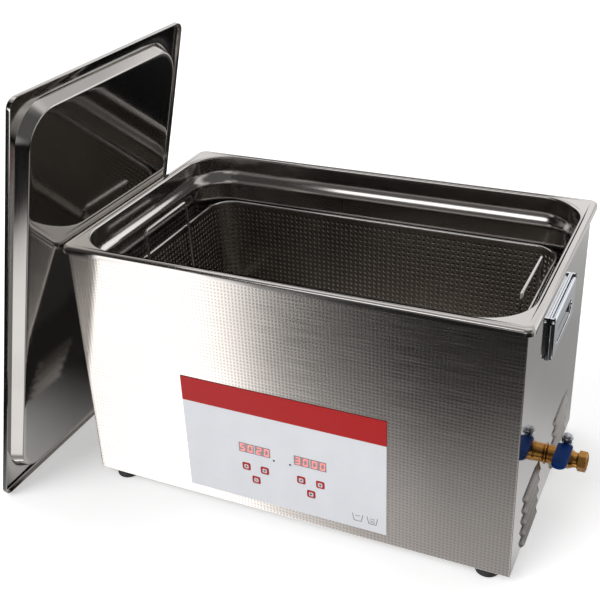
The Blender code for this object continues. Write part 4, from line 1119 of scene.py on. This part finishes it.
def add_inside():
    finishes = {
        "transducer": (ALUMINIUM, 0.0),
        "temperature_sensor": (ALUMINIUM, 0.0),
        "heat_sink": (ALUMINIUM, 0.0002),
        "transformer": (COPPER, 0.0),
        "heater": (SILICONE, 0.0003),
        "control_board": (BOARD, 0.0),
        "generator_board": (BOARD, 0.0),
        "fan_frame": (PLASTIC, 0.0004),
        "power_inlet": (PLASTIC, 0.0004),
        "switch_housing": (PLASTIC, 0.0004),
        "switch_rocker": (PLASTIC, 0.0003),
        "fan_rotor": (PLASTIC, 0.0),
        "fuse_holder": (PLASTIC, 0.0003),
    }
    for start, (finish, bevel) in finishes.items():
        for node in nodes_like(start):
            finish_node(node, finish, bevel)


# ---------------- stage, light and camera


def add_backdrop(name, mesh, colour, emission, **rays):
    """A stage object that only the named kinds of rays meet."""
    glow = dict(Emission_Color=(1, 1, 1, 1), Emission_Strength=emission)
    mesh.materials.append(principled(name, colour, 0.0, 0.9, Specular_IOR_Level=0.0, **glow))
    made = linked(name, mesh)
    for ray in ("camera", "diffuse", "glossy", "transmission", "volume_scatter", "shadow"):
        setattr(made, f"visible_{ray}", rays.get(ray, False))
    return made


def add_stage():
    """A pale floor, and a pale dome that only the camera sees above it."""
    floor, dome = bpy.data.meshes.new("floor"), bpy.data.meshes.new("dome")
    reach = 14
    corners = [(-reach, -reach, 0), (reach, -reach, 0), (reach, reach, 0), (-reach, reach, 0)]
    floor.from_pydata(corners, [], [(0, 1, 2, 3)])
    shape = bmesh.new()
    bmesh.ops.create_uvsphere(shape, u_segments=48, v_segments=24, radius=13.5)
    shape.to_mesh(dome)
    shape.free()
    dome.shade_smooth()
    rays = dict(camera=True, diffuse=True, shadow=True)
    ground = add_backdrop("floor", floor, (0.8, 0.8, 0.8), 0.45, **rays)
    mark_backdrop(ground, add_backdrop("dome", dome, (0, 0, 0), 0.97, camera=True))


def bearing(azimuth, elevation):
    """A unit vector: azimuth from straight ahead of the front, positive to the right, in degrees."""
    a, e = math.radians(azimuth), math.radians(elevation)
    return Vector((math.sin(a) * math.cos(e), -math.cos(a) * math.cos(e), math.sin(e)))


def light_world(base, layers):
    """Builds the studio's light from a base and soft layers along world directions.

    A layer is a strength, which adds light or, below 0, takes away a share of it, and steps
    (axis, start, end): 0 where a direction's reach along the axis is at the start or beyond, and
    1 where it is at the end or beyond. The layer is the product of its steps.
    """
    world = bpy.data.worlds.new("studio")
    bpy.context.scene.world = world
    world.use_nodes = True
    direction = add_node(world, "TexCoord", "Generated")
    dot = {"operation": "DOT_PRODUCT"}
    total = base
    for strength, *steps in layers:
        share = abs(strength)
        for axis, start, end in steps:
            reach = add_node(world, "VectorMath", "Value", direction, axis, settings=dot)
            ends = (start, end, 0.0, 1.0) if start < end else (end, start, 1.0, 0.0)
            share = maths(world, "MULTIPLY", share, mapped(world, reach, *ends, smooth=True))
        if strength > 0:
            total = maths(world, "ADD", total, share)
        else:
            total = maths(world, "MULTIPLY", total, maths(world, "SUBTRACT", 1.0, share))
    background = world.node_tree.nodes["Background"].inputs
    feed(world, background["Color"], total)
    feed(world, background["Strength"], 1.0)


BACK = (0, 1, 0)


def rising(start, end):
    """A step between two elevations."""
    return (0, 0, 1), math.sin(math.radians(start)), math.sin(math.radians(end))


def right_of(azimuth):
    """The level axis along which directions to the right of an azimuth reach above 0."""
    return tuple(bearing(azimuth + 90, 0))


def left_of(azimuth):
    return tuple(bearing(azimuth - 90, 0))


def near(azimuth, elevation, inside, outside):
    """A step that is 1 within one angle of a direction, and 0 beyond another."""
    far, close = (math.cos(math.radians(angle)) for angle in (outside, inside))
    return tuple(bearing(azimuth, elevation)), far, close


def add_sky():
    """A bright card on the left, a strip light ahead, a pale back and floor, and dark gaps between."""
    card = left_of(-29.9)
    strip = ((card, 0.03, -0.02), (left_of(-8), -0.04, 0.04))
    lid_gap = ((right_of(144), -0.03, 0.03), (left_of(165), -0.02, 0.06))
    layers = [
        (2.3, (card, -0.03, 0.03), (right_of(-41.5), -0.02, 0.02), rising(14, -8)),
        (0.16, (card, -0.19, -0.02), (card, 0.1, 0.0), rising(0, -12)),
        (0.22, (card, -0.19, -0.05), (card, 0.1, 0.0), rising(-31, -35)),
        (0.46, rising(-33, -42)),
        (0.95, rising(-33, -36), near(20, -42, 11, 20)),
        (0.75, rising(3, 20), (BACK, -0.1, 0.25)),
        (0.78, rising(-42, -24), rising(8, 2), (BACK, 0.1, 0.4)),
        (0.6, ((-1, 0, 0), 0.2, 0.7), rising(-20, -5), (BACK, -0.45, 0.0)),
        (0.45, near(175, 27, 20, 32), rising(36, 30)),
        (1.1, near(138, 7, 9, 16)),
        (0.2, near(172, -41, 7, 12)),
        (2.6, *strip, rising(25, 29), rising(46, 38)),
        (0.12, rising(-22, -4), (BACK, 0.2, -0.2), (card, 0.1, -0.1)),
        (0.45, rising(45, 70)),
        (0.6, near(9, -2, 9, 22)),
        (0.5, near(90, -2, 8, 30)),
        (-0.99, *lid_gap, rising(-22, -27), rising(-52, -44)),
        (-0.95, near(-156, -41, 11, 15.5)),
        (-0.95, near(37, -38, 8.5, 12)),
        (-0.9, near(178, -52, 9, 12)),
        (-0.42, near(172, -29, 3, 7)),
        (-0.85, near(-152, 38, 4.5, 8)),
    ]
    light_world(0.012, layers)


def add_lights():
    """A soft sun for the shapes and the faint shadow; it leaves no glint of its own."""
    lamp = bpy.data.lights.new("key", "SUN")
    lamp.energy = 1.65
    lamp.angle = math.radians(40)
    made = linked("key", lamp)
    made.rotation_mode = "QUATERNION"
    made.rotation_quaternion = bearing(-30, 45).to_track_quat("Z", "Y")
    made.visible_glossy = False


def add_camera():
    """Above the front right of the case, looking down at it and a little rolled."""
    data = bpy.data.cameras.new("camera")
    data.sensor_width = 36
    data.lens = 61.12
    made = linked("camera", data)
    forward = Vector((-0.3812, 0.7917, -0.4774)).normalized()
    right = Vector((0.9092, 0.4145, -0.0387)).normalized()
    up = right.cross(forward)
    right = forward.cross(up)
    turn = Matrix((right, up, -forward)).transposed().to_4x4()
    made.matrix_world = CASE @ shift_by(0.4195, -0.9722, 0.7967) @ turn
    bpy.context.scene.camera = made
    bpy.context.scene.view_settings.view_transform = "Standard"


def write_size():
    boxes = {"cad": CAD_BOX, "visual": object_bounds()}
    plain_lists = {name: [list(corner) for corner in box] for name, box in boxes.items()}


add_camera()
add_stage()
add_sky()
add_lights()
add_tank()
add_front()
add_sides()
add_rear()
add_feet()
add_basket()
add_lid()
add_controls()
add_handles()
add_valve()
add_inside()
write_size()
